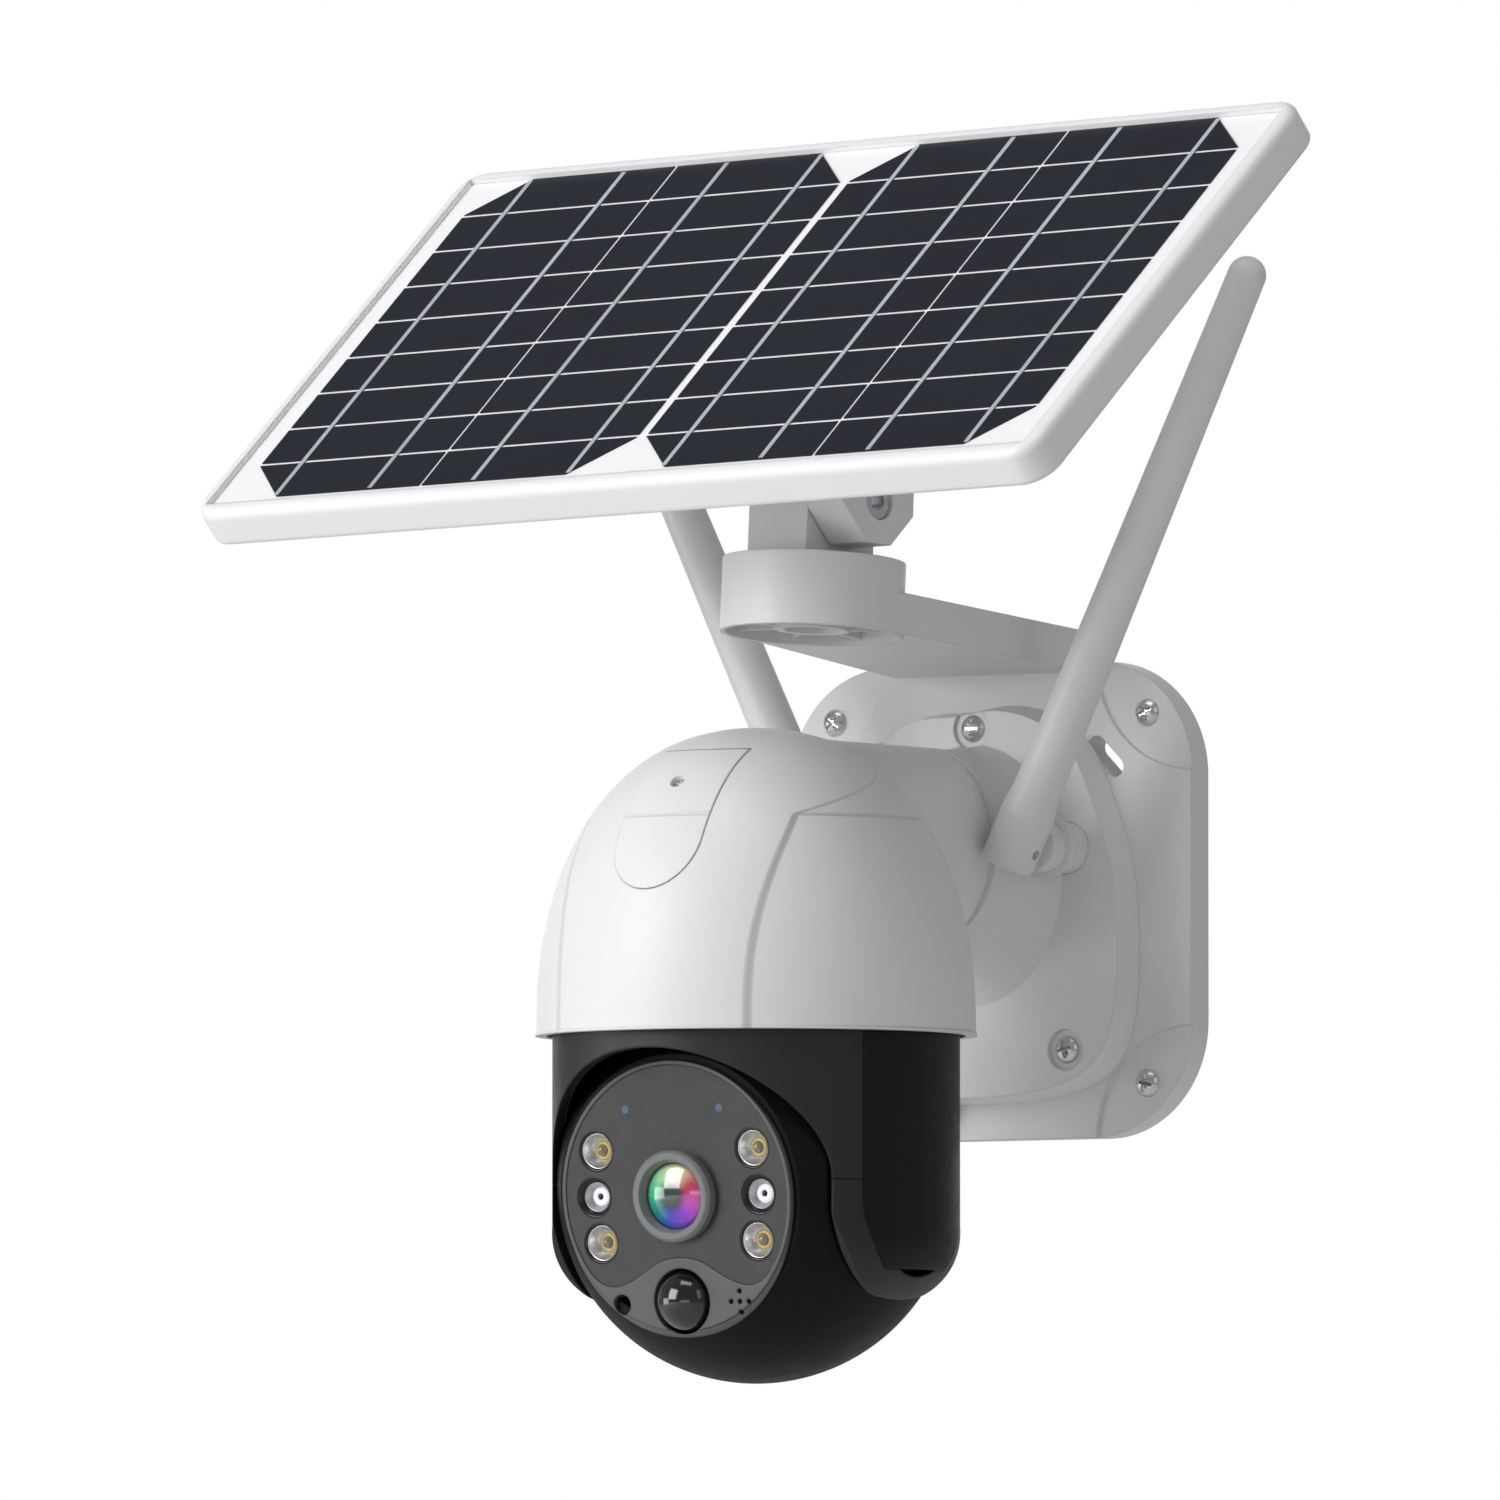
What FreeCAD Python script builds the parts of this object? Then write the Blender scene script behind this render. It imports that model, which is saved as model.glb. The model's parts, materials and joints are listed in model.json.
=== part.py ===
import FreeCAD, Part
import math
import os
import re
import Sketcher
from FreeCAD import Placement, Rotation, Vector

# Solar-powered security camera. Millimetres. +Z is up, -Y points out from the wall, +X is to the right
# seen from the front. The origin is the centre of the wall plate's back face.

SIZES = {
    # wall plate
    "plate_size": 116.0, "plate_thick": 8.0, "plate_corner": 28.0, "hole_inset": 13.0,
    "hole_pitch": "=plate_size - 2 * hole_inset", "hole_r": 2.25,
    "pad_r": 27.0, "pad_depth": 0.8, "cable_hole_r": 15.0, "slot_r": 2.5, "slot_length": 7.4,
    "screw_r": 1.95, "neck_gap": 0.1, "screw_head_r": 3.4, "screw_head_h": 2.2, "screw_reach": 8.0,
    # cover on the plate
    "cover_front": 16.0, "cover_wall": 2.5, "flare_front": 36.0, "small_screw_r": 1.5,
    # dome and neck
    "head_reach": 112.0, "ball_height": -71.5, "neck_height": 12.4, "neck_half_width": 18.5,
    "neck_half_height": 24.0, "dome_r": 52.6, "dome_low": 35.4, "dome_base": 38.0, "dome_rise": 71.2,
    "dome_power": 2.2, "dome_wall": 2.4, "rim_r": 52.9, "rim_h": 0.7,
    "door_half_width": 12.0, "door_low": 69.0, "door_high": 103.0, "door_raise": 0.25, "door_thick": 1.5,
    # solar arm with its cup
    "arm_slope": 4.5, "arm_rise": 3.4, "cup_reach": 87.6, "cup_height": "=plate_size / 2 + arm_rise",
    "cup_r": 22.1, "cup_h": 17.9, "cup_wall": 1.3,
    "cup_roof": 5.5, "arm_thick": 10.0, "arm_half_at_cup": 21.5, "arm_half_at_plate": 28.0,
    "swivel_r": 3.0, "rib_thick": 1.2,
    # swivel post and the tilt ear of the panel
    "hinge_h": 13.7, "post_left": 11.0, "post_right": 8.0, "post_half_depth": 12.0, "ear_thick": 12.0,
    "tilt_bolt_r": 3.0, "tilt_head_r": 4.6, "tilt_nut_r": 5.6, "panel_swivel": -9.2, "panel_slope": 41.6,
    # solar panel, from the hinge: cells at panel_rise along its normal, panel_shift up its slope
    "panel_rise": 51.2, "panel_shift": 11.4, "panel_width": 272.0, "panel_length": 135.0,
    "panel_corner": 8.0, "frame_h": 10.5, "frame_rim": 4.0, "frame_drop": -1.0, "glass_h": 1.0,
    "cell_size": 125.0, "cell_gap": 2.0, "cell_line": 1.0, "cell_h": 0.25, "cell_chamfer": 14.5,
    "box_width": 210.0, "box_length": 53.0, "box_h": 20.0, "box_shift": -6.5, "box_wall": 1.6,
    "battery_r": 9.1, "battery_length": 65.0,
    # antennas
    "antenna_x": 27.4, "antenna_y": 39.2, "antenna_z": 12.2, "antenna_lean": 26.0, "antenna_low": 5.5,
    "antenna_high": 155.0, "antenna_base_r": 6.7, "antenna_mid_r": 5.9, "antenna_tip_r": 4.7,
    "stub_r": 3.0, "boss_r": 6.2,
    # yoke, from the centre of the ball
    "yoke_r": 48.8, "yoke_top": 51.8, "yoke_roof": 3.0, "yoke_cavity_r": 48.3, "yoke_inner_x": 39.2,
    "ear_bottom_r": 29.5, "ear_round": 17.0, "arch_half_width": 39.7, "arch_height": 31.3,
         "rear_arch_height": 14.0,
    "skin": 2.4, "seam_angle": 64.5, "seam_gap": 0.15, "visor_top": 47.0, "cap_top": 44.0,
         "cap_low": 25.0,
    # ball and face, w is the distance out from the centre of the ball
    "ball_r": 47.7, "ball_half_width": 38.5, "ball_wall": 2.4, "ball_pitch": 6.0, "face_w": 33.6,
    "bezel_r": 32.3, "bezel_w": 35.2, "plug_r": 30.9, "plug_w": 29.0, "panel_w": 34.0,
         "face_panel_r": 31.2,
    "lens_ring_r": 11.0, "lens_ring_w": 38.0, "lens_r": 7.9, "lamp_r": 4.9,
    "warm_u": 22.1, "warm_v": 11.0, "infrared_u": 23.3, "status_u": 13.3, "status_v": 20.8,
         "status_r": 1.0,
    "motion_v": -25.2, "motion_r": 7.4, "motion_w": 32.4, "motion_pit_r": 7.9,
    "light_u": -17.1, "light_v": -25.8, "light_r": 2.5, "mic_u": 16.4, "mic_v": -25.4, "mic_r": 0.65,
    "mic_pitch": 2.5,
    # drives
    "running": 0.05, "pan_module": 0.8, "pan_teeth": 60.0, "pan_pinion_teeth": 12.0, "spindle_r": 10.0,
    "base_low": 54.0, "base_thick": 3.0, "base_r": 48.0, "motor_r": 10.0, "motor_h": 13.0,
    "tilt_module": 0.6, "tilt_teeth": 48.0, "tilt_pinion_teeth": 12.0, "axle_r": 6.0, "axle_bore_r": 3.5,
    "backlash": 0.12,
}

doc = FreeCAD.newDocument("solar_camera")
sheet = doc.addObject("Spreadsheet::Sheet", "Sizes")
for row, (alias, number) in enumerate(SIZES.items(), 1):
    sheet.set("A%d" % row, alias)
    sheet.set("B%d" % row, str(number))
    sheet.setAlias("B%d" % row, alias)
doc.recompute()

NODES = []
X, Y, Z = Vector(1, 0, 0), Vector(0, 1, 0), Vector(0, 0, 1)
TURN = {"z": Rotation(), "-y": Rotation(X, 90), "y": Rotation(X, -90), "x": Rotation(Y, 90),
        "-x": Rotation(Y, -90)}


def size(alias):
    """A driving size, read from the sheet."""
    return float(sheet.get(alias))


def bind(item, prop, formula):
    """Bind a property to a formula written with the sheet's aliases."""
    item.setExpression(prop, re.sub(r"[a-z]\w*", lambda m: in_sheet(m.group()), str(formula)))


def in_sheet(word):
    return "Sizes." + word if word in SIZES else word


def place(item, where):
    for axis, formula in zip("xyz", where):
        bind(item, "Placement.Base." + axis, formula)
    return item


def block(name, where, extent):
    """A box from its low corner."""
    item = doc.addObject("Part::Box", name)
    for prop, formula in zip(("Length", "Width", "Height"), extent):
        bind(item, prop, formula)
    return place(item, where)


def rod(name, where, radius, length, along="z"):
    item = doc.addObject("Part::Cylinder", name)
    item.Placement.Rotation = TURN[along]
    bind(item, "Radius", radius)
    bind(item, "Height", length)
    return place(item, where)


def ball(name, where, radius):
    item = doc.addObject("Part::Sphere", name)
    bind(item, "Radius", radius)
    return place(item, where)


def union(name, parts):
    item = doc.addObject("Part::MultiFuse", name)
    item.Shapes = parts
    return item


def minus(name, base, tools):
    item = doc.addObject("Part::Cut", name)
    item.Base = base
    item.Tool = tools[0] if len(tools) == 1 else union(name + "_tools", tools)
    return item


def common(name, parts):
    item = doc.addObject("Part::MultiCommon", name)
    item.Shapes = parts
    return item


def several(name, parts):
    """Separate solids of one sub-part."""
    item = doc.addObject("Part::Compound", name)
    item.Links = parts
    return item


def node(label, item, pose=None):
    """Name a finished sub-part and put it in its place."""
    if pose is not None:
        if item.ExpressionEngine:
            item = several(label + "_set", [item])
        item.Placement = pose
    item.Label = label
    NODES.append(item)
    return item


def feature(label, shape, pose=None):
    """A sub-part with a shape of its own, made from sizes read from the sheet."""
    item = doc.addObject("Part::Feature", label + "_shape")
    item.Shape = shape
    return node(label, item, pose)


# ---- frames the sub-parts are built in

def cup_pose():
    """Bottom of the arm's cup, leaning back with the arm."""
    return Placement(Vector(0, -size("cup_reach"), size("cup_height")), Rotation(X, -size("arm_slope")))


def swivel_pose():
    """Top of the cup, turned with the swivel."""
    return cup_pose() * Placement(Vector(0, 0, size("cup_h")), Rotation(Z, size("panel_swivel")))


def panel_pose():
    """The panel's hinge: x along the bolt, y up the slope, z along the panel's normal."""
    tilt = size("panel_slope") + size("arm_slope")
    return swivel_pose() * Placement(Vector(0, 0, size("hinge_h")), Rotation(X, tilt))


def head_pose():
    """Centre of the ball, level."""
    return Placement(Vector(0, -size("head_reach"), size("ball_height")), Rotation())


def ball_pose():
    """Centre of the ball, pitched down as stored."""
    return head_pose() * Placement(Vector(), Rotation(X, size("ball_pitch")))


def antenna_pose(side):
    at = Vector(side * size("antenna_x"), -size("antenna_y"), size("antenna_z"))
    return Placement(at, Rotation(Y, side * size("antenna_lean")))


# ---- shared shapes

def cylinder(radius, low, high, at=(0, 0), along="z"):
    """Cylinder between two stations on an axis: at is (x, y) for z, (x, z) for -y and (y, z) for x."""
    if along == "z":
        return Part.makeCylinder(radius, high - low, Vector(at[0], at[1], low), Z)
    if along == "-y":
        return Part.makeCylinder(radius, high - low, Vector(at[0], -low, at[1]), -Y)
    return Part.makeCylinder(radius, high - low, Vector(low, at[0], at[1]), X)


def box(x, y, z):
    return Part.makeBox(x[1] - x[0], y[1] - y[0], z[1] - z[0], Vector(x[0], y[0], z[0]))


def prism(edges, direction):
    """Extrude a closed outline."""
    return Part.Face(Part.Wire(edges)).extrude(direction)


def curve(points, closed=False, tangents=None):
    spline = Part.BSplineCurve()
    if tangents:
        spline.interpolate(Points=points, InitialTangent=tangents[0], FinalTangent=tangents[1])
    else:
        spline.interpolate(Points=points, PeriodicFlag=closed)
    return spline.toShape()


def fuse_all(shapes):
    return shapes[0].multiFuse(shapes[1:]).removeSplitter()


def arc(start, middle, end):
    return Part.Arc(start, middle, end).toShape()


def screw(head_r, head_h, radius, length):
    """Pan-head screw with a cross recess: head seat at the origin, head up, shank down."""
    dome_r = (head_r ** 2 + head_h ** 2) / (2 * head_h)
    dome = Part.makeSphere(dome_r, Vector(0, 0, head_h - dome_r))
    head = cylinder(head_r, 0, head_h).common(dome)
    arm, half = head_r * 0.62, head_r * 0.13
    depth = head_h * 0.45
    cross = box((-arm, arm), (-half, half),
                (depth, head_h)).fuse(box((-half, half), (-arm, arm), (depth, head_h)))
    return head.cut(cross).fuse(cylinder(radius, -length, 0)).removeSplitter()


def copies(shape, poses):
    """Separate placed copies of one solid."""
    out = []
    for pose in poses:
        one = shape.copy()
        one.Placement = pose.multiply(one.Placement)
        out.append(one)
    return Part.makeCompound(out)


def facing(at, along="-y", spin=0.0):
    """Pose of a screw whose head looks along a direction."""
    return Placement(Vector(*at), TURN[along] * Rotation(Z, spin))


def gear_wire(teeth, module, phase, backlash):
    """Involute outline in the XY plane, with a tooth centred at the angle phase (radians)."""
    pitch_r, pressure = teeth * module / 2, math.radians(20)
    base_r, tip_r, root_r = pitch_r * math.cos(pressure), pitch_r + module, pitch_r - 1.25 * module
    half = math.pi / (2 * teeth) - backlash / (2 * pitch_r)
    start_r = max(base_r, root_r)

    def flank(radius, side, tooth):
        roll = math.sqrt(max((radius / base_r) ** 2 - 1, 0))
        bend = roll - math.atan(roll) - (math.tan(pressure) - pressure)
        angle = phase + tooth * 2 * math.pi / teeth + side * (half - bend)
        return Vector(radius * math.cos(angle), radius * math.sin(angle), 0)

    edges, last, first = [], None, None
    for tooth in range(int(teeth)):
        rise = [flank(r, -1, tooth) for r in (start_r, (start_r + tip_r) / 2, tip_r)]
        fall = [flank(r, 1, tooth) for r in (tip_r, (start_r + tip_r) / 2, start_r)]
        foot_in, foot_out = rise[0] * (root_r / start_r), fall[2] * (root_r / start_r)
        if last is not None:
            edges.append(Part.makeLine(last, foot_in))
        else:
            first = foot_in
        if start_r > root_r:
            edges.append(Part.makeLine(foot_in, rise[0]))
        edges += [arc(*rise), Part.makeLine(rise[2], fall[0]), arc(*fall)]
        if start_r > root_r:
            edges.append(Part.makeLine(fall[2], foot_out))
        last = foot_out
    edges.append(Part.makeLine(last, first))
    return Part.Wire(edges)


def gear(teeth, module, thick, phase):
    return Part.Face(gear_wire(teeth, module, phase, size("backlash"))).extrude(Z * thick)


# ---- bodies sketched on their own planes

def plane(body, role):
    return [item for item in body.Origin.OriginFeatures if item.Role == role][0]


def rounded_sketch(body, name, role, width, height, corner):
    """A rounded rectangle centred on the body's origin, its three sizes bound to the sheet."""
    sketch = body.newObject("Sketcher::SketchObject", name)
    sketch.AttachmentSupport = [(plane(body, role), "")]
    sketch.MapMode = "FlatFace"
    w, h, r = 50.0, 40.0, 5.0
    ends = [((-w + r, -h), (w - r, -h)), ((w, -h + r), (w, h - r)), ((w - r, h), (-w + r, h)),
            ((-w, h - r), (-w, -h + r))]
    centres = [(w - r, -h + r), (w - r, h - r), (-w + r, h - r), (-w + r, -h + r)]
    for k in range(4):
        a, b = (Vector(*p, 0) for p in ends[k])
        sketch.addGeometry(Part.LineSegment(a, b), False)
        circle = Part.Circle(Vector(*centres[k], 0), Z, r)
        sketch.addGeometry(Part.ArcOfCircle(circle, math.radians(90 * k - 90), math.radians(90 * k)),
                           False)
    for k in range(8):
        sketch.addConstraint(Sketcher.Constraint("Tangent", k, 2, (k + 1) % 8, 1))
    for k in (0, 4):
        sketch.addConstraint(Sketcher.Constraint("Horizontal", k))
        sketch.addConstraint(Sketcher.Constraint("Vertical", k + 2))
    for k in (3, 5, 7):
        sketch.addConstraint(Sketcher.Constraint("Equal", 1, k))
    sketch.addConstraint(Sketcher.Constraint("Symmetric", 0, 1, 4, 1, -1, 1))
    for kind, ids, word, formula in (("DistanceX", (6, 1, 2, 1), "across", width),
                                     ("DistanceY", (0, 1, 4, 1), "tall", height),
                                     ("Radius", (1,), "corner", corner)):
        sketch.addConstraint(Sketcher.Constraint(kind, *ids,
                                                 {"across": 2 * w, "tall": 2 * h, "corner": r}[word]))
        sketch.renameConstraint(sketch.ConstraintCount - 1, word)
        bind(sketch, "Constraints." + word, formula)
    return sketch


def pad(body, sketch, length, reverse=False):
    item = body.newObject("PartDesign::Pad", sketch.Name + "_pad")
    item.Profile = sketch
    bind(item, "Length", length)
    item.Reversed = reverse
    return item


def hole_sketch(body, name, role, circles):
    """Circles at bound centres: (x, y, radius) formulas."""
    sketch = body.newObject("Sketcher::SketchObject", name)
    sketch.AttachmentSupport = [(plane(body, role), "")]
    sketch.MapMode = "FlatFace"
    for k, (x, y, radius) in enumerate(circles):
        sketch.addGeometry(Part.Circle(Vector(10.0 * k + 5, 10.0 * k + 5, 0), Z, 1.0), False)
        for kind, ids, word, formula in (("DistanceX", (-1, 1, k, 3), "x%d" % k, x),
                                         ("DistanceY", (-1, 1, k, 3), "y%d" % k, y),
                                         ("Radius", (k,), "r%d" % k, radius)):
            start = 1.0 if kind == "Radius" else 10.0 * k + 5
            sketch.addConstraint(Sketcher.Constraint(kind, *ids, start))
            sketch.renameConstraint(sketch.ConstraintCount - 1, word)
            bind(sketch, "Constraints." + word, formula)
    return sketch


def pocket(body, sketch, depth=None, both=False):
    item = body.newObject("PartDesign::Pocket", sketch.Name + "_cut")
    item.Profile = sketch
    item.Reversed = True
    if depth is None:
        item.Type = "ThroughAll"
    else:
        bind(item, "Length", depth)
    item.Midplane = both
    return item


# ---- wall plate, cover and their screws

def corners(pitch):
    return [(a * pitch / 2, b * pitch / 2) for a in (-1, 1) for b in (-1, 1)]


def cover_screw_spots():
    """Screws of the cover, as (x, z)."""
    return [(0, size("plate_size") * 0.362), (-size("plate_size") * 0.233, -size("plate_size") * 0.317),
            (size("plate_size") * 0.233, -size("plate_size") * 0.317)]


def arm_screw_spots():
    return [(-size("arm_half_at_plate") * 0.6, size("plate_size") / 2 - 7.5),
            (size("arm_half_at_plate") * 0.6, size("plate_size") / 2 - 7.5)]


def make_wall_plate():
    """Rounded plate, drilled at the corners, with a cable hole, strap slots and screw holes."""
    body = doc.addObject("PartDesign::Body", "wall_plate_body")
    sketch = rounded_sketch(body, "plate_outline", "XZ_Plane", "plate_size", "plate_size", "plate_corner")
    pad(body, sketch, "plate_thick")
    spots = [("%d * hole_pitch / 2" % a, "%d * hole_pitch / 2" % b, "hole_r") for a in (-1, 1)
             for b in (-1, 1)]
    pocket(body, hole_sketch(body, "plate_holes", "XZ_Plane", spots + [("0", "0", "cable_hole_r")]))
    doc.recompute()
    half, thick, deep = size("plate_size") / 2, size("plate_thick"), size("plate_thick") / 2
    tools = [cylinder(size("pad_r"), thick - size("pad_depth"), thick + 1, (a * half, b * half), "-y")
             for a in (-1, 1) for b in (-1, 1)]
    run = size("slot_length") / 2 * math.sqrt(0.5)
    for side in (-1, 1):
        x, z, r = side * half * 0.58, half * 0.597, size("slot_r")
        ends = [(x - side * run, z + run), (x + side * run, z - run)]
        slot = [cylinder(r, -1, thick + 1, end, "-y") for end in ends]
        bar = box((-run * math.sqrt(2), run * math.sqrt(2)), (-thick - 1, 1), (-r, r))
        bar.Placement = Placement(Vector(x, 0, z), Rotation(Y, side * 45))
        tools += slot + [bar]
    tools += [cylinder(size("small_screw_r") + 0.02, 2, thick + 1, spot, "-y")
              for spot in cover_screw_spots()]
    tongue = size("arm_half_at_plate") * 0.86
    tools.append(box((-tongue, tongue), (-deep, 1), (half - 14, half + 1)))
    tools += [cylinder(size("small_screw_r") + 0.02, deep - 1, thick - 1, spot, "-y")
              for spot in arm_screw_spots()]
    return feature("wall_plate", fuse_all([body.Shape.cut(tools)]))


def egg(scale, y, grow=0.0):
    """Outline of the raised cover in a plane of constant y."""
    k = size("plate_size") / 116.0
    right = [(17, 44), (27, 37.5), (34.5, 24), (40.5, 6), (42, -12), (40.8, -28), (35.5, -39.5),
             (22, -46)]
    points = [(0, 45.6)] + right + [(0, -48)] + [(-x, z) for x, z in reversed(right)]
    return Part.Wire([curve([Vector((x * scale + math.copysign(grow, x) * (x != 0)) * k, y,
                                    (z * scale + math.copysign(grow, z)) * k) for x, z in points],
                            closed=True)])


def oval(half_width, half_height, centre, y):
    ring = Part.Ellipse(Vector(0, y, centre), max(half_width, half_height),
                        min(half_width, half_height)).toShape()
    if half_height > half_width:
        ring.rotate(Vector(0, y, centre), Z, 90)
    ring.rotate(Vector(0, y, centre), X, 90)
    return Part.Wire([ring])


def make_plate_cover():
    """Raised cover with a collar that flares to the neck, hollow, with three screw bosses."""
    back, front, wall = -size("plate_thick"), -size("cover_front"), size("cover_wall")
    high, half_w, half_h = size("neck_height"), size("neck_half_width"), size("neck_half_height")
    plateau = Part.makeLoft([egg(1.0, back, 1.4), egg(1.0, front)], True)
    mouth = -size("flare_front")
    middle = (mouth + front) / 2
    flare = Part.makeLoft([oval(half_w + 1.5, half_h, high, mouth),
                           oval(half_w + 4.2, half_h + 1.6, high - 1.5, middle),
                           oval(half_w + 8.5, half_h + 9.5, high - 7.5, front + 1.5)], True)
    body = plateau.fuse(flare)
    hollow = Part.makeLoft([egg(0.93, back + 1), egg(0.93, front + wall)], True)
    bore = prism([oval(half_w - wall, half_h - wall, high, mouth - 1).Edges[0]],
                 Vector(0, 1 + wall + front - mouth, 0))
    bosses = [cylinder(3.6, -back, -front - wall, spot, "-y") for spot in cover_screw_spots()]
    body = body.cut(hollow.cut(bosses)).cut(bore)
    tools = [cylinder(size("screw_head_r") + 1.6, -front - 0.9, -front + 8, spot, "-y")
             for spot in cover_screw_spots()]
    tools += [cylinder(size("small_screw_r") + 0.1, -back - 1, -front + 1, spot, "-y")
              for spot in cover_screw_spots()]
    for side in (-1, 1):
        seat = (side * size("antenna_x"), size("antenna_z"))
        tools.append(cylinder(size("boss_r") + 0.05, -front - wall, -mouth + 5, seat, "-y"))
        tools.append(cylinder(size("boss_r") + 1.45, -mouth - 12.05, -mouth + 5, seat, "-y"))
    foot = -48 * size("plate_size") / 116
    inlet = Part.makeCylinder(3.15, 20, Vector(-14, (back + front) / 2, foot - 7), Z)
    feature("plate_cover", fuse_all([body.cut(tools).cut(inlet)]))


def make_plate_screws():
    """Wall screws with a thicker neck in the plate, cover screws, and screws from the back into the arm."""
    back, front = size("plate_thick"), size("cover_front")
    head_r, head_h = size("screw_head_r"), size("screw_head_h")
    y = -(back - size("pad_depth"))
    neck = screw(head_r, head_h, size("hole_r") - size("neck_gap"), -y)
    wall = neck.fuse(cylinder(size("screw_r"), y - size("screw_reach"), y + 0.5))
    spins = (18, 50, 78, 25)
    poses = [facing((x, y, z), spin=s) for (x, z), s in zip(corners(size("hole_pitch")), spins)]
    feature("corner_screws", copies(wall, poses))
    small = screw(head_r, head_h, size("small_screw_r"), front - 0.9 - 2.6)
    poses = [facing((x, -(front - 0.9), z), spin=s)
             for (x, z), s in zip(cover_screw_spots(), (0, 40, 12))]
    feature("cover_screws", copies(small, poses))
    short = screw(2.9, 1.6, size("small_screw_r"), back / 2 + 0.4)
    poses = [facing((x, -1.7, z), along="y") for x, z in arm_screw_spots()]
    feature("arm_screws", copies(short, poses))


def make_power_inlet():
    """Round socket in the lower wall of the cover."""
    y = "-(plate_thick + cover_front) / 2"
    foot = "-48 * plate_size / 116 - "
    shell = rod("inlet_shell", ("-14", y, foot + "2.5"), "3.1", "9.5")
    lip = rod("inlet_lip", ("-14", y, foot + "3.4"), "3.7", "1.5")
    hollow = rod("inlet_hollow", ("-14", y, foot + "4"), "2.2", "8")
    pin = rod("inlet_pin", ("-14", y, foot + "1.5"), "0.7", "7")
    node("power_inlet", union("inlet", [minus("inlet_body", union("inlet_outer", [shell, lip]),
                                              [hollow]), pin]))


# ---- arm to the solar panel, and its swivel

def make_solar_arm():
    """Leaning cup with ribs, an arm that widens to the plate, and a tongue behind the plate."""
    r, high, wall, roof = size("cup_r"), size("cup_h"), size("cup_wall"), size("cup_roof")
    near, far, thick = size("arm_half_at_cup"), size("arm_half_at_plate"), size("arm_thick")
    reach, half = size("cup_reach"), size("plate_size") / 2
    run = reach / math.cos(math.radians(size("arm_slope"))) + 4
    outline = [Vector(-near, 0, 0.3), Vector(-far, run, 0.3), Vector(far, run, 0.3), Vector(near, 0, 0.3)]
    edges = [Part.makeLine(outline[k], outline[(k + 1) % 4]) for k in range(4)]
    slab = prism(edges, Z * thick)
    body = fuse_all([slab, cylinder(r, 0, high)])
    inner = cylinder(r - wall, -1, high - roof)
    hub = cylinder(9.0, 1.0, high - roof).cut(cylinder(6.6, 0, high - roof + 1))
    spokes = []
    for k in range(4):
        spoke = box((-r + 0.5, r - 0.5), (-size("rib_thick") / 2, size("rib_thick") / 2),
                    (1.6, high - roof))
        spoke.rotate(Vector(), Z, 45 * k)
        spokes.append(spoke.cut(cylinder(6.6, -1, high)))
    body = body.cut(inner).fuse([hub] + spokes).removeSplitter()
    body = body.cut(cylinder(size("swivel_r") + size("running"), -1, high + 1))
    body.Placement = cup_pose()
    behind = box((-200, 200), (0, 50), (-100, 200))
    plate = box((-200, 200), (-size("plate_thick"), 1), (-100, half))
    tongue_w = far * 0.84
    tongue = box((-tongue_w, tongue_w), (-size("plate_thick") / 2 + 0.1, -0.2), (half - 13.5, half + 3))
    holes = [cylinder(size("small_screw_r") + 0.1, -1, 6, spot, "-y") for spot in arm_screw_spots()]
    holes += [cylinder(3.1, -1, 1.7, spot, "-y") for spot in arm_screw_spots()]
    feature("solar_arm", body.cut([behind, plate]).fuse(tongue).removeSplitter().cut(holes))


def make_swivel():
    """Post that turns on the cup, with the screw that holds it."""
    left, right, deep, high = size("post_left"), size("post_right"), size("post_half_depth"), size("hinge_h")
    post = box((-left, right), (-deep, deep), (0.1, high))
    top = cylinder(deep, -left, right, (0, high), "x")
    bore = cylinder(size("tilt_bolt_r") + size("running"), -left - 1, right + 1, (0, high), "x")
    nut_pocket = cylinder(size("tilt_nut_r") + 0.5, -left - 1, -left + 6, (0, high), "x")
    screw_hole = cylinder(size("swivel_r") + 0.02, -1, 8.6)
    feature("swivel_post", fuse_all([post, top]).cut([bore, nut_pocket, screw_hole]), swivel_pose())
    seat = -size("cup_roof") - 0.3
    head = cylinder(5.6, seat - 4, seat).cut(Part.makeCylinder(2.9, 2.5, Vector(0, 0, seat - 4), Z))
    feature("swivel_screw", fuse_all([head, cylinder(size("swivel_r"), seat, 8.2)]), swivel_pose())


# ---- solar panel, built about its hinge

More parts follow.
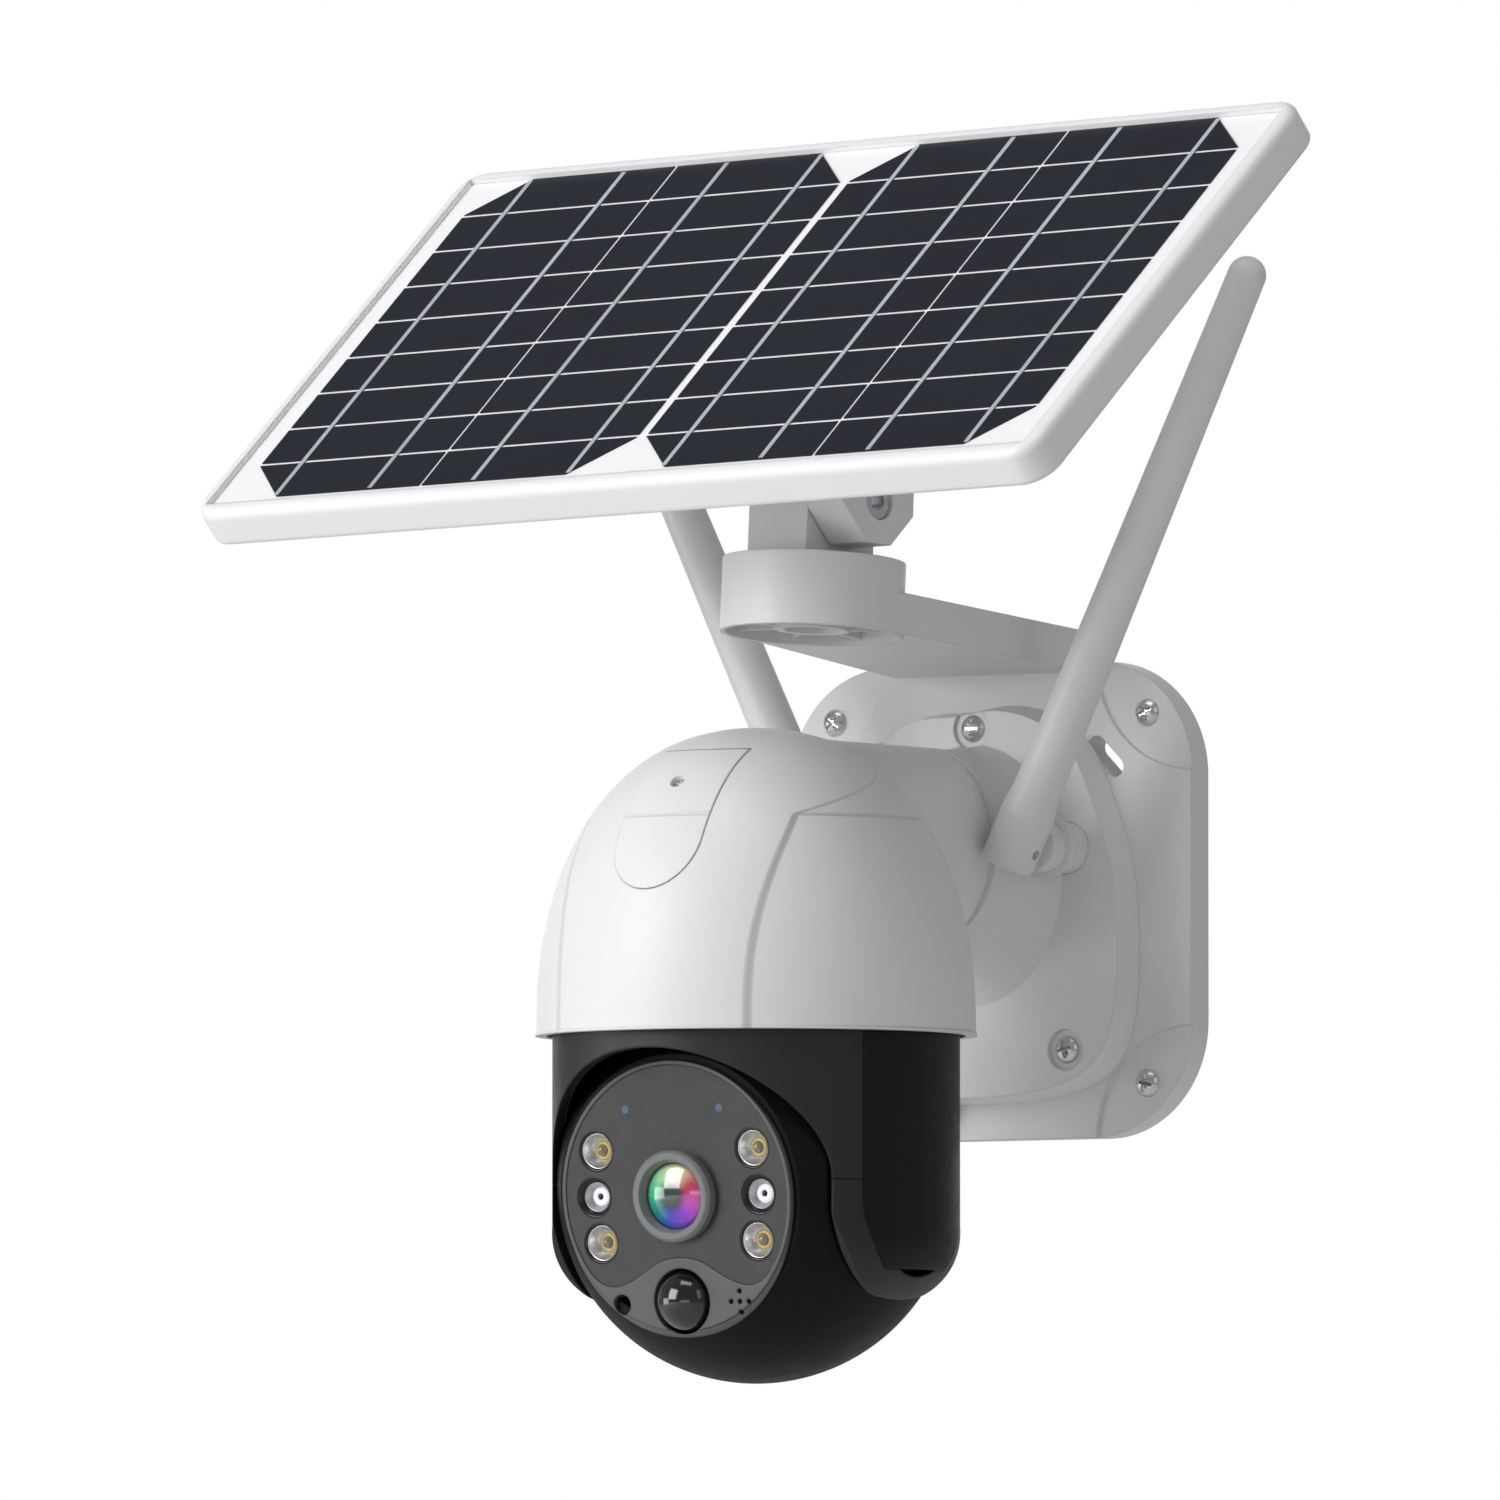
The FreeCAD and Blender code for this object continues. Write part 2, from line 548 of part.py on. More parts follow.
def make_panel():
    """Frame, laminate and its layers."""
    pose = panel_pose()
    top = "panel_rise + cell_h + 0.05 + glass_h"
    middle = "panel_shift + frame_drop"
    body = doc.addObject("PartDesign::Body", "panel_frame_body")
    pad(body, rounded_sketch(body, "frame_outline", "XY_Plane", "panel_width", "panel_length",
                             "panel_corner"), "frame_h")
    doc.recompute()
    low = size("panel_rise") + size("cell_h") + 0.05 + size("glass_h") - size("frame_h")
    shape = body.Shape.copy()
    edges = [e for e in shape.Edges
             if abs(e.BoundBox.ZMin - size("frame_h")) < 0.01 and e.BoundBox.ZLength < 0.01]
    shape = shape.makeFillet(2.6, edges)
    edges = [e for e in shape.Edges if e.BoundBox.ZMax < 0.01]
    shape = shape.makeFillet(1.6, edges)
    shift = size("panel_shift") + size("frame_drop")
    shape.translate(Vector(0, shift, low))
    half_w = size("panel_width") / 2 - size("frame_rim")
    half_l = size("panel_length") / 2 - size("frame_rim")
    floor = size("panel_rise") - 0.5
    seat = box((-half_w, half_w), (shift - half_l, shift + half_l), (floor, floor + 20))
    under = box((-half_w + 3, half_w - 3), (shift - half_l + 3, shift + half_l - 3),
                (low + 2.0, floor + 1))
    ribs = [box((x - 1, x + 1), (shift - half_l, shift + half_l), (low + 1, floor))
            for x in (-90, -45, 0, 45, 90)]
    at = size("panel_shift") + size("box_shift")
    pillars = [cylinder(3.2, low + 1, floor, (x, y)) for x, y in box_screw_spots()]
    tools = [cylinder(1.52, low - 1, floor - 1.2, spot) for spot in box_screw_spots()]
    wire = Part.makeCylinder(2.5, 6, Vector(70, at, low - 1), Z)
    shape = shape.cut(seat).cut(under.cut(ribs + pillars)).cut(tools + [wire])
    feature("panel_frame", shape, pose)
    sheet_low, cell_low = "panel_rise - 0.45", "panel_rise"
    size_x, size_y = "panel_width - 2 * frame_rim - 0.2", "panel_length - 2 * frame_rim - 0.2"
    corner = ("-(%s) / 2" % size_x, "%s - (%s) / 2" % (middle, size_y))
    node("cell_backsheet", block("backsheet", corner + (sheet_low,), (size_x, size_y, "0.4")), pose)
    node("panel_glass", block("glass", corner + ("%s - glass_h" % top,), (size_x, size_y, "glass_h")),
         pose)


def cell_columns():
    """Left edges and widths of the strips in each cell, split at the gap and at the ribbons."""
    whole, gap = size("cell_size"), size("cell_gap")
    half = whole / 2
    return [(side_x + k * half, half) for side_x in (-whole - gap / 2, gap / 2) for k in (0, 1)]


def make_cells():
    """Two pseudo-square cells cut into strips, and the ribbons laid over them."""
    pose = panel_pose()
    whole, line, thick, gap = size("cell_size"), size("cell_line"), size("cell_h"), size("cell_gap")
    pitch, low, middle = whole / 9, size("panel_rise"), size("panel_shift")
    cut, strips = size("cell_chamfer"), []
    for column, (left, wide) in enumerate(cell_columns()):
        outer = -1 if column % 2 == 0 else 1
        for row in range(9):
            y0 = middle - whole / 2 + row * pitch + line / 2
            y1 = middle - whole / 2 + (row + 1) * pitch - line / 2
            x0, x1 = left + line / 2, left + wide - line / 2
            points = [(x0, y0), (x1, y0), (x1, y1), (x0, y1)]
            if row in (0, 8):
                edge_y, inner_y = (y0, y1) if row == 0 else (y1, y0)
                edge_x = x0 if outer < 0 else x1
                start = edge_x - outer * cut
                points = [(start, edge_y), (edge_x, inner_y), (x1 if outer < 0 else x0, inner_y),
                          (x1 if outer < 0 else x0, edge_y)]
            corners3 = [Vector(x, y, low) for x, y in points]
            edges = [Part.makeLine(corners3[k], corners3[(k + 1) % len(corners3)])
                     for k in range(len(corners3))]
            strips.append(prism(edges, Z * thick))
    feature("solar_cells", Part.makeCompound(strips), pose)
    ribbons = []
    for side_x in (-whole - gap / 2, gap / 2):
        for along in (0.116, 0.364, 0.636, 0.884):
            x = side_x + along * whole
            ribbons.append(box((x - 0.7, x + 0.7), (middle - whole / 2 + 1, middle + whole / 2 - 1),
                               (low + thick, low + thick + 0.05)))
    feature("cell_ribbons", Part.makeCompound(ribbons), pose)


def panel_back():
    return size("panel_rise") + size("cell_h") + 0.05 + size("glass_h") - size("frame_h")


def box_screw_spots():
    half_w, half_l = size("box_width") / 2 - 4.6, size("box_length") / 2 - 4.6
    at = size("panel_shift") + size("box_shift")
    return [(a * half_w, at + b * half_l) for a in (-1, 1) for b in (-1, 1)]


def ear_screw_spots():
    """Screws that hold the ear to the box, clear of the ear block, as (x, y)."""
    row = size("panel_shift") + size("box_shift") + size("box_length") / 2 - size("box_wall") - 0.4
    return [(x, y) for x in (-12, 28) for y in (-9.6, row - 2 * size("battery_r"))]


def make_battery_box():
    """Box on the back of the frame, the cells and board in it, and the screws of box and ear."""
    pose, top = panel_pose(), panel_back()
    high, wall = size("box_h"), size("box_wall")
    half_w, half_l = size("box_width") / 2, size("box_length") / 2
    at, low = size("panel_shift") + size("box_shift"), top - high
    body = box((-half_w, half_w), (at - half_l, at + half_l), (low, top))
    upright = [e for e in body.Edges if e.BoundBox.ZLength > high - 0.1]
    body = body.makeFillet(5.0, upright)
    lower = [e for e in body.Edges if e.BoundBox.ZMax < low + 0.01]
    body = body.makeFillet(1.2, lower)
    inner = box((-half_w + wall, half_w - wall), (at - half_l + wall, at + half_l - wall),
                (low + wall, top + 1))
    posts = [cylinder(2.6, low, top + 1, spot) for spot in box_screw_spots()]
    seats = [cylinder(2.5, low, low + wall + 2.6, spot) for spot in ear_screw_spots()]
    body = body.cut(inner.cut(posts + seats))
    holes = [cylinder(1.56, low - 1, top + 1, spot) for spot in box_screw_spots()]
    holes += [cylinder(3.2, low - 1, low + wall / 2, spot) for spot in box_screw_spots()]
    holes += [cylinder(1.52, low - 1, low + wall + 2.7, spot) for spot in ear_screw_spots()]
    gland = Part.makeCylinder(4.05, 10, Vector(60, at - half_l - 5, low + high / 2), Y)
    feature("battery_box", body.cut(holes + [gland]), pose)
    cell_r, long = size("battery_r"), size("battery_length")
    first = at + half_l - wall - cell_r - 0.3
    cells = []
    for row in range(2):
        for k in range(3):
            x = (k - 1.5) * (long + 0.2) + 0.1
            cell = Part.makeCylinder(cell_r, long,
                                     Vector(x, first - row * (2 * cell_r + 0.2), low + wall + cell_r), X)
            cells.append(cell)
    feature("battery_cells", Part.makeCompound(cells), pose)
    strip = at - half_l + wall + 0.3
    board = box((-50, 40), (strip, strip + 9.6), (low + wall + 6.5, low + wall + 8.1))
    chips = [box((x, x + 9), (strip + 1, strip + 8), (low + wall + 8.1, low + wall + 11))
             for x in (-44, -28, 2, 22)]
    feet = [box((x, x + 3), (strip, strip + 9.6), (low + wall, low + wall + 6.5)) for x in (-50, 37)]
    feature("charge_board", fuse_all([board] + chips + feet), pose)
    long_screw = screw(2.9, 1.8, 1.5, high - wall / 2 + 6.0)
    ear_screw = screw(2.9, 1.8, 1.5, 3.0 + wall + 2.4)
    down = Rotation(X, 180)
    set_one = [Placement(Vector(x, y, low + wall / 2), down) for x, y in box_screw_spots()]
    set_two = [Placement(Vector(x, y, low - 3.0), down) for x, y in ear_screw_spots()]
    screws = copies(long_screw, set_one).Solids + copies(ear_screw, set_two).Solids
    feature("panel_screws", Part.makeCompound(screws), pose)
    base = ("60", "panel_shift + box_shift - box_length / 2",
            "panel_rise + cell_h + 0.05 + glass_h - frame_h - box_h / 2")
    barrel = rod("gland_barrel", (base[0], base[1] + " + 1.5", base[2]), "4", "4.5", "-y")
    nut = rod("gland_nut", (base[0], base[1] + " - 0.1", base[2]), "6", "3.4", "-y")
    bore = rod("gland_bore", (base[0], base[1] + " + 4", base[2]), "2", "14", "-y")
    node("panel_gland", minus("gland", union("gland_outer", [barrel, nut]), [bore]), pose)


def make_tilt_ear():
    """Ear under the box with the bolt that carries the panel on the post."""
    pose = panel_pose()
    low = panel_back() - size("box_h")
    x0 = size("post_right") + 0.4
    x1 = x0 + size("ear_thick")
    foot = box((x0 - 26, x1 + 13), (-19, 19), (low - 3.0, low - 0.05))
    foot = foot.makeFillet(5.0, [e for e in foot.Edges if e.BoundBox.ZLength > 2.5])
    r = 10.5
    points = [Vector(x0, -r, low - 1), Vector(x0, -r, -r + 6.0), Vector(x0, -r + 6.0, -r),
              Vector(x0, r - 4, -r),
              Vector(x0, r, -r + 4), Vector(x0, r + 3, low - 1)]
    edges = [Part.makeLine(points[k], points[(k + 1) % 6]) for k in range(6)]
    body = fuse_all([foot, prism(edges, X * size("ear_thick"))])
    bolt_r = size("tilt_bolt_r")
    tools = [cylinder(bolt_r + 0.02, x0 - 1, x1 + 1, (0, 0), "x"),
             cylinder(size("tilt_head_r") + 0.2, x1 - 5.0, x1 + 1, (0, 0), "x")]
    tools += [cylinder(1.6, low - 5, low + 1, spot) for spot in ear_screw_spots()]
    feature("tilt_ear", body.cut(tools), pose)
    end = -size("post_left") + 0.6
    head = cylinder(size("tilt_head_r"), x1 - 5.0, x1 - 0.8, (0, 0), "x")
    socket = Part.makePolygon([Vector(0, 2.6 * math.cos(math.radians(60 * k)),
                                      2.6 * math.sin(math.radians(60 * k)))
                               for k in range(7)])
    socket = Part.Face(socket).extrude(X * 2.6)
    socket.translate(Vector(x1 - 3.4, 0, 0))
    bolt = fuse_all([head, cylinder(bolt_r, end, x1 - 5.0, (0, 0), "x")]).cut(socket)
    feature("tilt_bolt", bolt, pose)
    nut_r = size("tilt_nut_r")
    hexagon = Part.makePolygon([Vector(0, nut_r * math.cos(math.radians(60 * k)),
                                       nut_r * math.sin(math.radians(60 * k)))
                                for k in range(7)])
    nut = Part.Face(hexagon).extrude(X * 4.8)
    nut.translate(Vector(-size("post_left") + 1.0, 0, 0))
    feature("tilt_nut", nut.cut(cylinder(bolt_r + 0.02, -30, 30, (0, 0), "x")), pose)


# ---- antennas

def make_antennas():
    """Bosses on the cover, the two antennas that swing on them, and their set screws."""
    front = size("cover_front") - size("cover_wall")
    end = size("antenna_y") - size("antenna_base_r") - 0.6
    bosses = []
    for side in (-1, 1):
        at = (side * size("antenna_x"), size("antenna_z"))
        shaft = cylinder(size("stub_r"), end, size("antenna_y") + 2.0, at, "-y")
        ring = cylinder(size("boss_r") + 1.4, size("flare_front") - 12, size("flare_front") - 10, at,
                        "-y")
        bosses.append(fuse_all([cylinder(size("boss_r"), front, end, at, "-y"), shaft, ring]))
    inside = neck_volume(0)
    feature("antenna_bosses", Part.makeCompound([b.cut(inside) for b in bosses]))
    for side, name in ((-1, "left"), (1, "right")):
        low, high = size("antenna_low"), size("antenna_high")
        base_r, mid_r, tip_r = size("antenna_base_r"), size("antenna_mid_r"), size("antenna_tip_r")
        profile = [Vector(0, 0, -low), Vector(base_r - 0.8, 0, -low), Vector(base_r, 0, -low + 0.8),
                   Vector(base_r, 0, 8),
                   Vector(mid_r, 0, 14), Vector(tip_r, 0, high - tip_r)]
        edges = [Part.makeLine(profile[k], profile[k + 1]) for k in range(5)]
        tip = Vector(tip_r * math.sqrt(0.5), 0, high - tip_r + tip_r * math.sqrt(0.5))
        edges += [arc(profile[5], tip, Vector(0, 0, high)), Part.makeLine(Vector(0, 0, high), profile[0])]
        body = Part.Face(Part.Wire(edges)).revolve(Vector(), Z, 360)
        bore = cylinder(size("stub_r") + size("running"), -base_r - 1, 3.0, (0, 0), "-y")
        grub = cylinder(1.25, min(0, side * (base_r + 1)), max(0, side * (base_r + 1)), (0, 0), "x")
        core = cylinder(1.6, 12, high - 8)
        feature("antenna_" + name, body.cut(bore).cut(grub).cut(core), antenna_pose(side))
        near, deep, far = side * (size("stub_r") + 0.35), side * (base_r - 2.2), side * (base_r - 1.4)
        set_screw = cylinder(1.23, min(near, far), max(near, far), (0, 0), "x")
        socket = cylinder(0.6, min(deep, far + side), max(deep, far + side), (0, 0), "x")
        feature("antenna_screw_" + name, set_screw.cut(socket), antenna_pose(side))


# ---- dome, built about the centre of the ball

def dome_solid(offset, low=None):
    """The dome's outer surface moved in or out by an offset, closed at its foot."""
    a, b = size("dome_r") + offset, size("dome_rise") + offset
    base, power = size("dome_base"), 2.0 / size("dome_power")
    foot = size("dome_low") if low is None else low
    steps = 12
    points = [Vector(a * math.cos(t) ** power, 0, base + b * math.sin(t) ** power)
              for t in [math.pi / 2 * k / steps for k in range(steps)]]
    points.append(Vector(0, 0, base + b))
    edges = [curve(points, tangents=(Z, -X)), Part.makeLine(points[-1], Vector(0, 0, foot)),
             Part.makeLine(Vector(0, 0, foot), Vector(a, 0, foot)),
             Part.makeLine(Vector(a, 0, foot), points[0])]
    return Part.Face(Part.Wire(edges)).revolve(Vector(), Z, 360)


def neck_volume(offset):
    """Oval neck from the dome to the collar, in the row frame."""
    reach, high = size("head_reach"), size("neck_height")
    wide, tall = size("neck_half_width") + offset, size("neck_half_height") + offset
    ring = oval(wide, tall, high, -reach + 20)
    return prism([ring.Edges[0]], Vector(0, reach - 20 - size("flare_front"), 0))


def door_prism(grow):
    """U-shaped column that the door is cut from."""
    half, low, high = size("door_half_width") + grow, size("door_low") - grow, size("door_high") + grow
    y = -80.0
    left, right, bottom = Vector(-half, y, low + half), Vector(half, y, low + half), Vector(0, y, low)
    edges = [arc(left, bottom, right), Part.makeLine(right, Vector(half, y, high)),
             Part.makeLine(Vector(half, y, high), Vector(-half, y, high)),
             Part.makeLine(Vector(-half, y, high), left)]
    return prism(edges, Y * 80)


def door_screw_pose():
    """Head seat of the door's screw, square to the dome."""
    level = size("dome_base") + size("dome_rise") * 0.8
    radius = size("dome_r") * (1 - 0.8 ** size("dome_power")) ** (1 / size("dome_power"))
    pitch = 52.0
    out = Vector(0, -math.cos(math.radians(pitch)), math.sin(math.radians(pitch)))
    return Placement(Vector(0, -radius, level) - out * 1.0, Rotation(Z, out))


def base_screw_spots():
    return [(41.0 * math.cos(math.radians(a)), 41.0 * math.sin(math.radians(a))) for a in (30, 150, 270)]


def board_post_spots():
    return [(24.0 * math.cos(math.radians(a)), 24.0 * math.sin(math.radians(a))) for a in (90, 210, 330)]


def make_dome():
    """Domed shell with its neck, rim bead, inner bosses and the seat of the door."""
    wall, pose = size("dome_wall"), head_pose()
    back = pose.inverse()
    neck, neck_hollow = neck_volume(0), neck_volume(-wall)
    for shape in (neck, neck_hollow):
        shape.Placement = back.multiply(shape.Placement)
    rim = cylinder(size("rim_r"), size("dome_low"), size("dome_low") + size("rim_h"))
    inner = dome_solid(-wall, size("dome_low") - 1)
    outer = dome_solid(0)
    level = size("base_low") + size("base_thick")
    posts = [cylinder(4.0, level, size("dome_base") + size("dome_rise"), spot)
             for spot in base_screw_spots()]
    posts += [cylinder(3.0, 86.0, size("dome_base") + size("dome_rise"), spot)
              for spot in board_post_spots()]
    boss_pose = door_screw_pose()
    boss = cylinder(3.4, -7.0, 0)
    boss.Placement = boss_pose
    kept = [p.common(outer) for p in posts] + [boss]
    body = fuse_all([outer, neck, rim]).cut(inner.cut(kept)).cut(neck_hollow)
    seat = door_prism(size("seam_gap")).cut(dome_solid(-size("door_thick") + size("door_raise"), 30))
    holes = [cylinder(1.52, level - 1, level + 9, spot) for spot in base_screw_spots()]
    pilot = cylinder(1.12, -6.0, 3)
    pilot.Placement = boss_pose
    feature("dome_shell", fuse_all([body.cut(seat).cut(holes + [pilot])]), pose)
    door = door_prism(0).common(dome_solid(size("door_raise")))
    door = door.cut(dome_solid(-size("door_thick") + 0.35, 30))
    well = cylinder(1.85, 0, 6)
    well.Placement = boss_pose
    feature("dome_door", door.cut([well, pilot]), pose)
    feature("door_screw", screw(1.7, 0.7, 1.1, 5.0), pose * boss_pose)
    level = size("base_low")
    poses = [Placement(Vector(x, y, level), Rotation(X, 180)) for x, y in base_screw_spots()]
    feature("pan_base_screws", copies(screw(2.6, 1.3, 1.5, 10.5), poses), pose)


def make_pan_base():
    """Plate that closes the dome and carries the pan spindle."""
    pose = head_pose()
    plate = rod("base_plate", ("0", "0", "base_low"), "base_r", "base_thick")
    hole = rod("base_hole", ("0", "0", "base_low - 1"), "spindle_r + running", "base_thick + 2")
    drills = [rod("base_drill%d" % k, (x, y, "base_low - 1"), "1.6", "base_thick + 2")
              for k, (x, y) in enumerate(base_screw_spots())]
    node("pan_base", minus("base_cut", plate, [hole] + drills), pose)
    x = "-(pan_teeth + pan_pinion_teeth) * pan_module / 2"
    low = "base_low + base_thick + 6"
    can = rod("pan_can", (x, "0", low), "motor_r", "motor_h")
    flange = block("pan_flange", (x + " - 6", "-15.5", low), ("6", "31", "1.6"))
    legs = [rod("pan_leg%d" % k, (x + " - 3.4", y, "base_low + base_thick"), "2", "6.5")
            for k, y in enumerate(("-13", "13"))]
    shaft = rod("pan_shaft_hole", (x, "0", low + " - 1"), "1.5 + running", "9")
    node("pan_motor", minus("pan_motor_cut", union("pan_motor_all", [can, flange] + legs), [shaft]), pose)
    board = rod("board_disc", ("0", "0", "84.4"), "31", "1.6")
    parts = [block("board_part%d" % k, (x0, y0, "81.4"), (dx, dy, "3.1"))
             for k, (x0, y0, dx, dy) in enumerate((("-9", "-9", "18", "18"), ("-24", "-6", "9", "12"),
                                                  ("13", "-14", "10", "7"), ("-6", "14", "14", "8")))]
    node("main_board", union("board_all", [board] + parts), pose)


def make_pan_drive():
    """Gear with its hollow spindle, the pinion, and the screws from the yoke's roof."""
    pose, module = head_pose(), size("pan_module")
    teeth, small = size("pan_teeth"), size("pan_pinion_teeth")
    roof, level = size("yoke_top"), size("base_low") + size("base_thick")
    wheel = gear(teeth, module, 4.6, math.pi)
    wheel.translate(Z * (level + 0.3))
    body = fuse_all([wheel, cylinder(size("spindle_r"), roof, level + 1)])
    holes = [cylinder(1.22, roof - 1, roof + 6, spot) for spot in spindle_screw_spots()]
    feature("pan_gear", body.cut([cylinder(5.4, roof - 1, level + 9)] + holes), pose)
    pinion = gear(small, module, 4.2, math.pi / small)
    pinion.translate(Z * (level + 0.5))
    stem = cylinder(1.5, level + 1, level + 13)
    shift = Placement(Vector(-(teeth + small) * module / 2, 0, 0), Rotation())
    feature("pan_pinion", fuse_all([pinion, stem]), pose * shift)
    seat = size("yoke_top") - size("yoke_roof") + 1.9
    poses = [Placement(Vector(x, y, seat), Rotation(X, 180)) for x, y in spindle_screw_spots()]
    feature("yoke_screws", copies(screw(2.2, 1.2, 1.2, 6.4), poses), pose)


def spindle_screw_spots():
    return [(7.7 * math.cos(math.radians(a)), 7.7 * math.sin(math.radians(a))) for a in (90, 210, 330)]


# ---- yoke, built about the centre of the ball

def arch(half_width, height, y_far, grow=0.0):
    """Half-oval opening cut along y, open at the bottom."""
    w, h = half_width + grow, height + grow
    ring = Part.Ellipse(Vector(), w, h).toShape() if w >= h else None
    column = prism([ring], Z * abs(y_far))
    column.rotate(Vector(), X, 90 if y_far < 0 else -90)
    return column.fuse(box((-w, w), (min(y_far, 0), max(y_far, 0)), (-60, 0)))


def sector(angle, low, high, r):
    """Wedge of the cylinder within an angle either side of the front."""
    half = math.radians(angle)
    far = 2 * r
    points = [Vector(), Vector(-far * math.sin(half), -far * math.cos(half), 0), Vector(0, -2 * far, 0),
              Vector(far * math.sin(half), -far * math.cos(half), 0)]
    edges = [Part.makeLine(points[k], points[(k + 1) % 4]) for k in range(4)]
    wedge = prism(edges, Z * (high - low))
    wedge.translate(Z * low)
    return wedge


def yoke_outside(r, low, top):
    """Round body of the yoke: rounded in at the foot, a step inside the dome, a flat roof."""
    step, turn = size("dome_low") + 1, size("ear_round")
    foot = Vector(r - turn, 0, low - 1.5)
    bend = foot + Vector(turn * math.sin(math.radians(50)), 0,
                         (turn + 4) * (1 - math.cos(math.radians(50))))
    points = [Vector(0, 0, low - 1.5), foot, Vector(r, 0, low - 1.5 + turn + 4), Vector(r, 0, step),
              Vector(r - 0.6, 0, step), Vector(r - 0.6, 0, top), Vector(0, 0, top)]
    edges = [Part.makeLine(points[0], foot), arc(foot, bend, points[2])]
    edges += [Part.makeLine(points[k], points[(k + 1) % 7]) for k in range(2, 7)]
    return Part.Face(Part.Wire(edges)).revolve(Vector(), Z, 360)


def yoke_body():
    r, top, inner_x = size("yoke_r"), size("yoke_top"), size("yoke_inner_x")
    cavity_r, roof = size("yoke_cavity_r"), size("yoke_roof")
    low = -size("ear_bottom_r")
    outer = yoke_outside(r, low, top)
    side = cylinder(size("ear_bottom_r"), -60, 60, (0, 0), "x").fuse(box((-60, 60), (-60, 60), (0, 60)))
    outer = outer.common(side)
    cavity = Part.makeSphere(cavity_r).fuse(cylinder(r - size("skin") - 0.6, 10, top - roof))
    cavity = cavity.common(box((-inner_x, inner_x), (-60, 60), (-60, top - roof)))
    body = outer.cut(cavity)
    body = body.cut(arch(size("arch_half_width"), size("arch_height"), -60))
    return body.cut(arch(size("arch_half_width"), size("rear_arch_height"), 60))


def skin_band(inner, outer_r, low, high):
    return cylinder(outer_r, low, high).cut(cylinder(inner, low - 1, high + 1))


def cap_region(side, grow):
    """Column of the ear cap: straight sides and a round foot, seen from the side."""
    half = size("yoke_r") * math.cos(math.radians(size("seam_angle"))) + grow
    low, high = -size("cap_low") - grow, size("cap_top") + grow
    a, b, c = Vector(0, -half, low + half), Vector(0, 0, low), Vector(0, half, low + half)
    edges = [arc(a, b, c), Part.makeLine(c, Vector(0, half, high)),
             Part.makeLine(Vector(0, half, high), Vector(0, -half, high)),
             Part.makeLine(Vector(0, -half, high), a)]
    return prism(edges, X * side * 60)


def make_yoke():
    """Shell, front visor and two ear caps, split along the seams."""
    pose, r, gap, skin = head_pose(), size("yoke_r"), size("seam_gap"), size("skin")
    body = yoke_body()
    visor_band = skin_band(r - skin, r + 1, 0, size("visor_top"))
    visor_zone = sector(size("seam_angle"), 0, size("visor_top"), r)
    visor = body.common(visor_band).common(visor_zone)
    keep_zone = sector(size("seam_angle") + 0.2, -gap, size("visor_top") + gap, r)
    shell = body.cut(skin_band(r - skin - gap, r + 1, -gap, size("visor_top") + gap).common(keep_zone))
    hub_r = size("axle_r")
    for side, name in ((-1, "left"), (1, "right")):
        region = cap_region(side, 0)
        band = skin_band(r - skin, r + 1, -60, 60)
        cap = body.common(region).common(band)
        visor = visor.cut(cap_region(side, gap))
        shell = shell.cut(cap_region(side, gap).common(skin_band(r - skin - gap, r + 1, -60, 60)))
        room = cap_region(side, -2.2).common(box((-60, 60), (-60, 60), (-60, 33)))
        start, end = sorted((side * (size("yoke_inner_x") + 2.0), side * 60))
        room = room.common(box((start, end), (-60, 60), (-60, 60)))
        shell = shell.cut(room)
        shell = shell.cut(cylinder(hub_r + 0.02, min(side * 30, side * 60), max(side * 30, side * 60),
                                   (0, 0), "x"))
        feature("ear_cap_" + name, cap, pose)
    seat = size("yoke_top") - size("yoke_roof") + 1.9
    tools = [cylinder(5.4, 40, 60)] + [cylinder(1.3, 40, 60, spot) for spot in spindle_screw_spots()]
    tools += [cylinder(2.5, 40, seat, spot) for spot in spindle_screw_spots()]
    feature("yoke_shell", fuse_all([shell.cut(tools)]), pose)
    feature("yoke_visor", visor, pose)


def tilt_spacing():
    return (size("tilt_teeth") + size("tilt_pinion_teeth")) * size("tilt_module") / 2


def make_tilt_drive():
    """Axles fixed in the ears, the right one with the gear the pinion rolls round, and the motor."""
    wall = size("yoke_inner_x") + 2.0
    pose, r = head_pose(), size("axle_r")
    left = rod("left_axle", ("-(yoke_inner_x + 3.9)", "0", "0"), "axle_r", "12", "x")
    flange = rod("left_flange", ("-(yoke_inner_x + 4)", "0", "0"), "9", "1.9", "x")
    bore = rod("left_bore", ("-60", "0", "0"), "axle_bore_r", "60", "x")
    node("tilt_axle_left", minus("left_axle_cut", union("left_axle_all", [left, flange]), [bore]), pose)
    wheel = gear(size("tilt_teeth"), size("tilt_module"), 3.6, 0)
    wheel.Placement = Placement(Vector(31.0, 0, 0), Rotation(Y, 90) * Rotation(Z, 90))
    axle = fuse_all([wheel, cylinder(r, 31, wall + 1.9, (0, 0), "x"),
                     cylinder(9, wall + 0.05, wall + 1.9, (0, 0), "x")])
    axle = axle.cut(cylinder(size("axle_bore_r"), 30, 60, (0, 0), "x"))
    feature("tilt_gear", axle, pose)
    back = ball_pose()
    spacing = tilt_spacing()
    motor = cylinder(size("motor_r") - 0.5, 16.4, 29.6, (spacing, 0), "x")
    tabs = box((28.0, 29.6), (spacing - 3, spacing + 3), (-15, 15))
    legs = [cylinder(1.8, 28.0, size("ball_half_width") - size("ball_wall"), (spacing, z), "x")
            for z in (-13, 13)]
    motor = fuse_all([motor, tabs] + legs).cut(cylinder(1.5 + size("running"), 20, 31, (spacing, 0), "x"))
    feature("tilt_motor", motor, back)


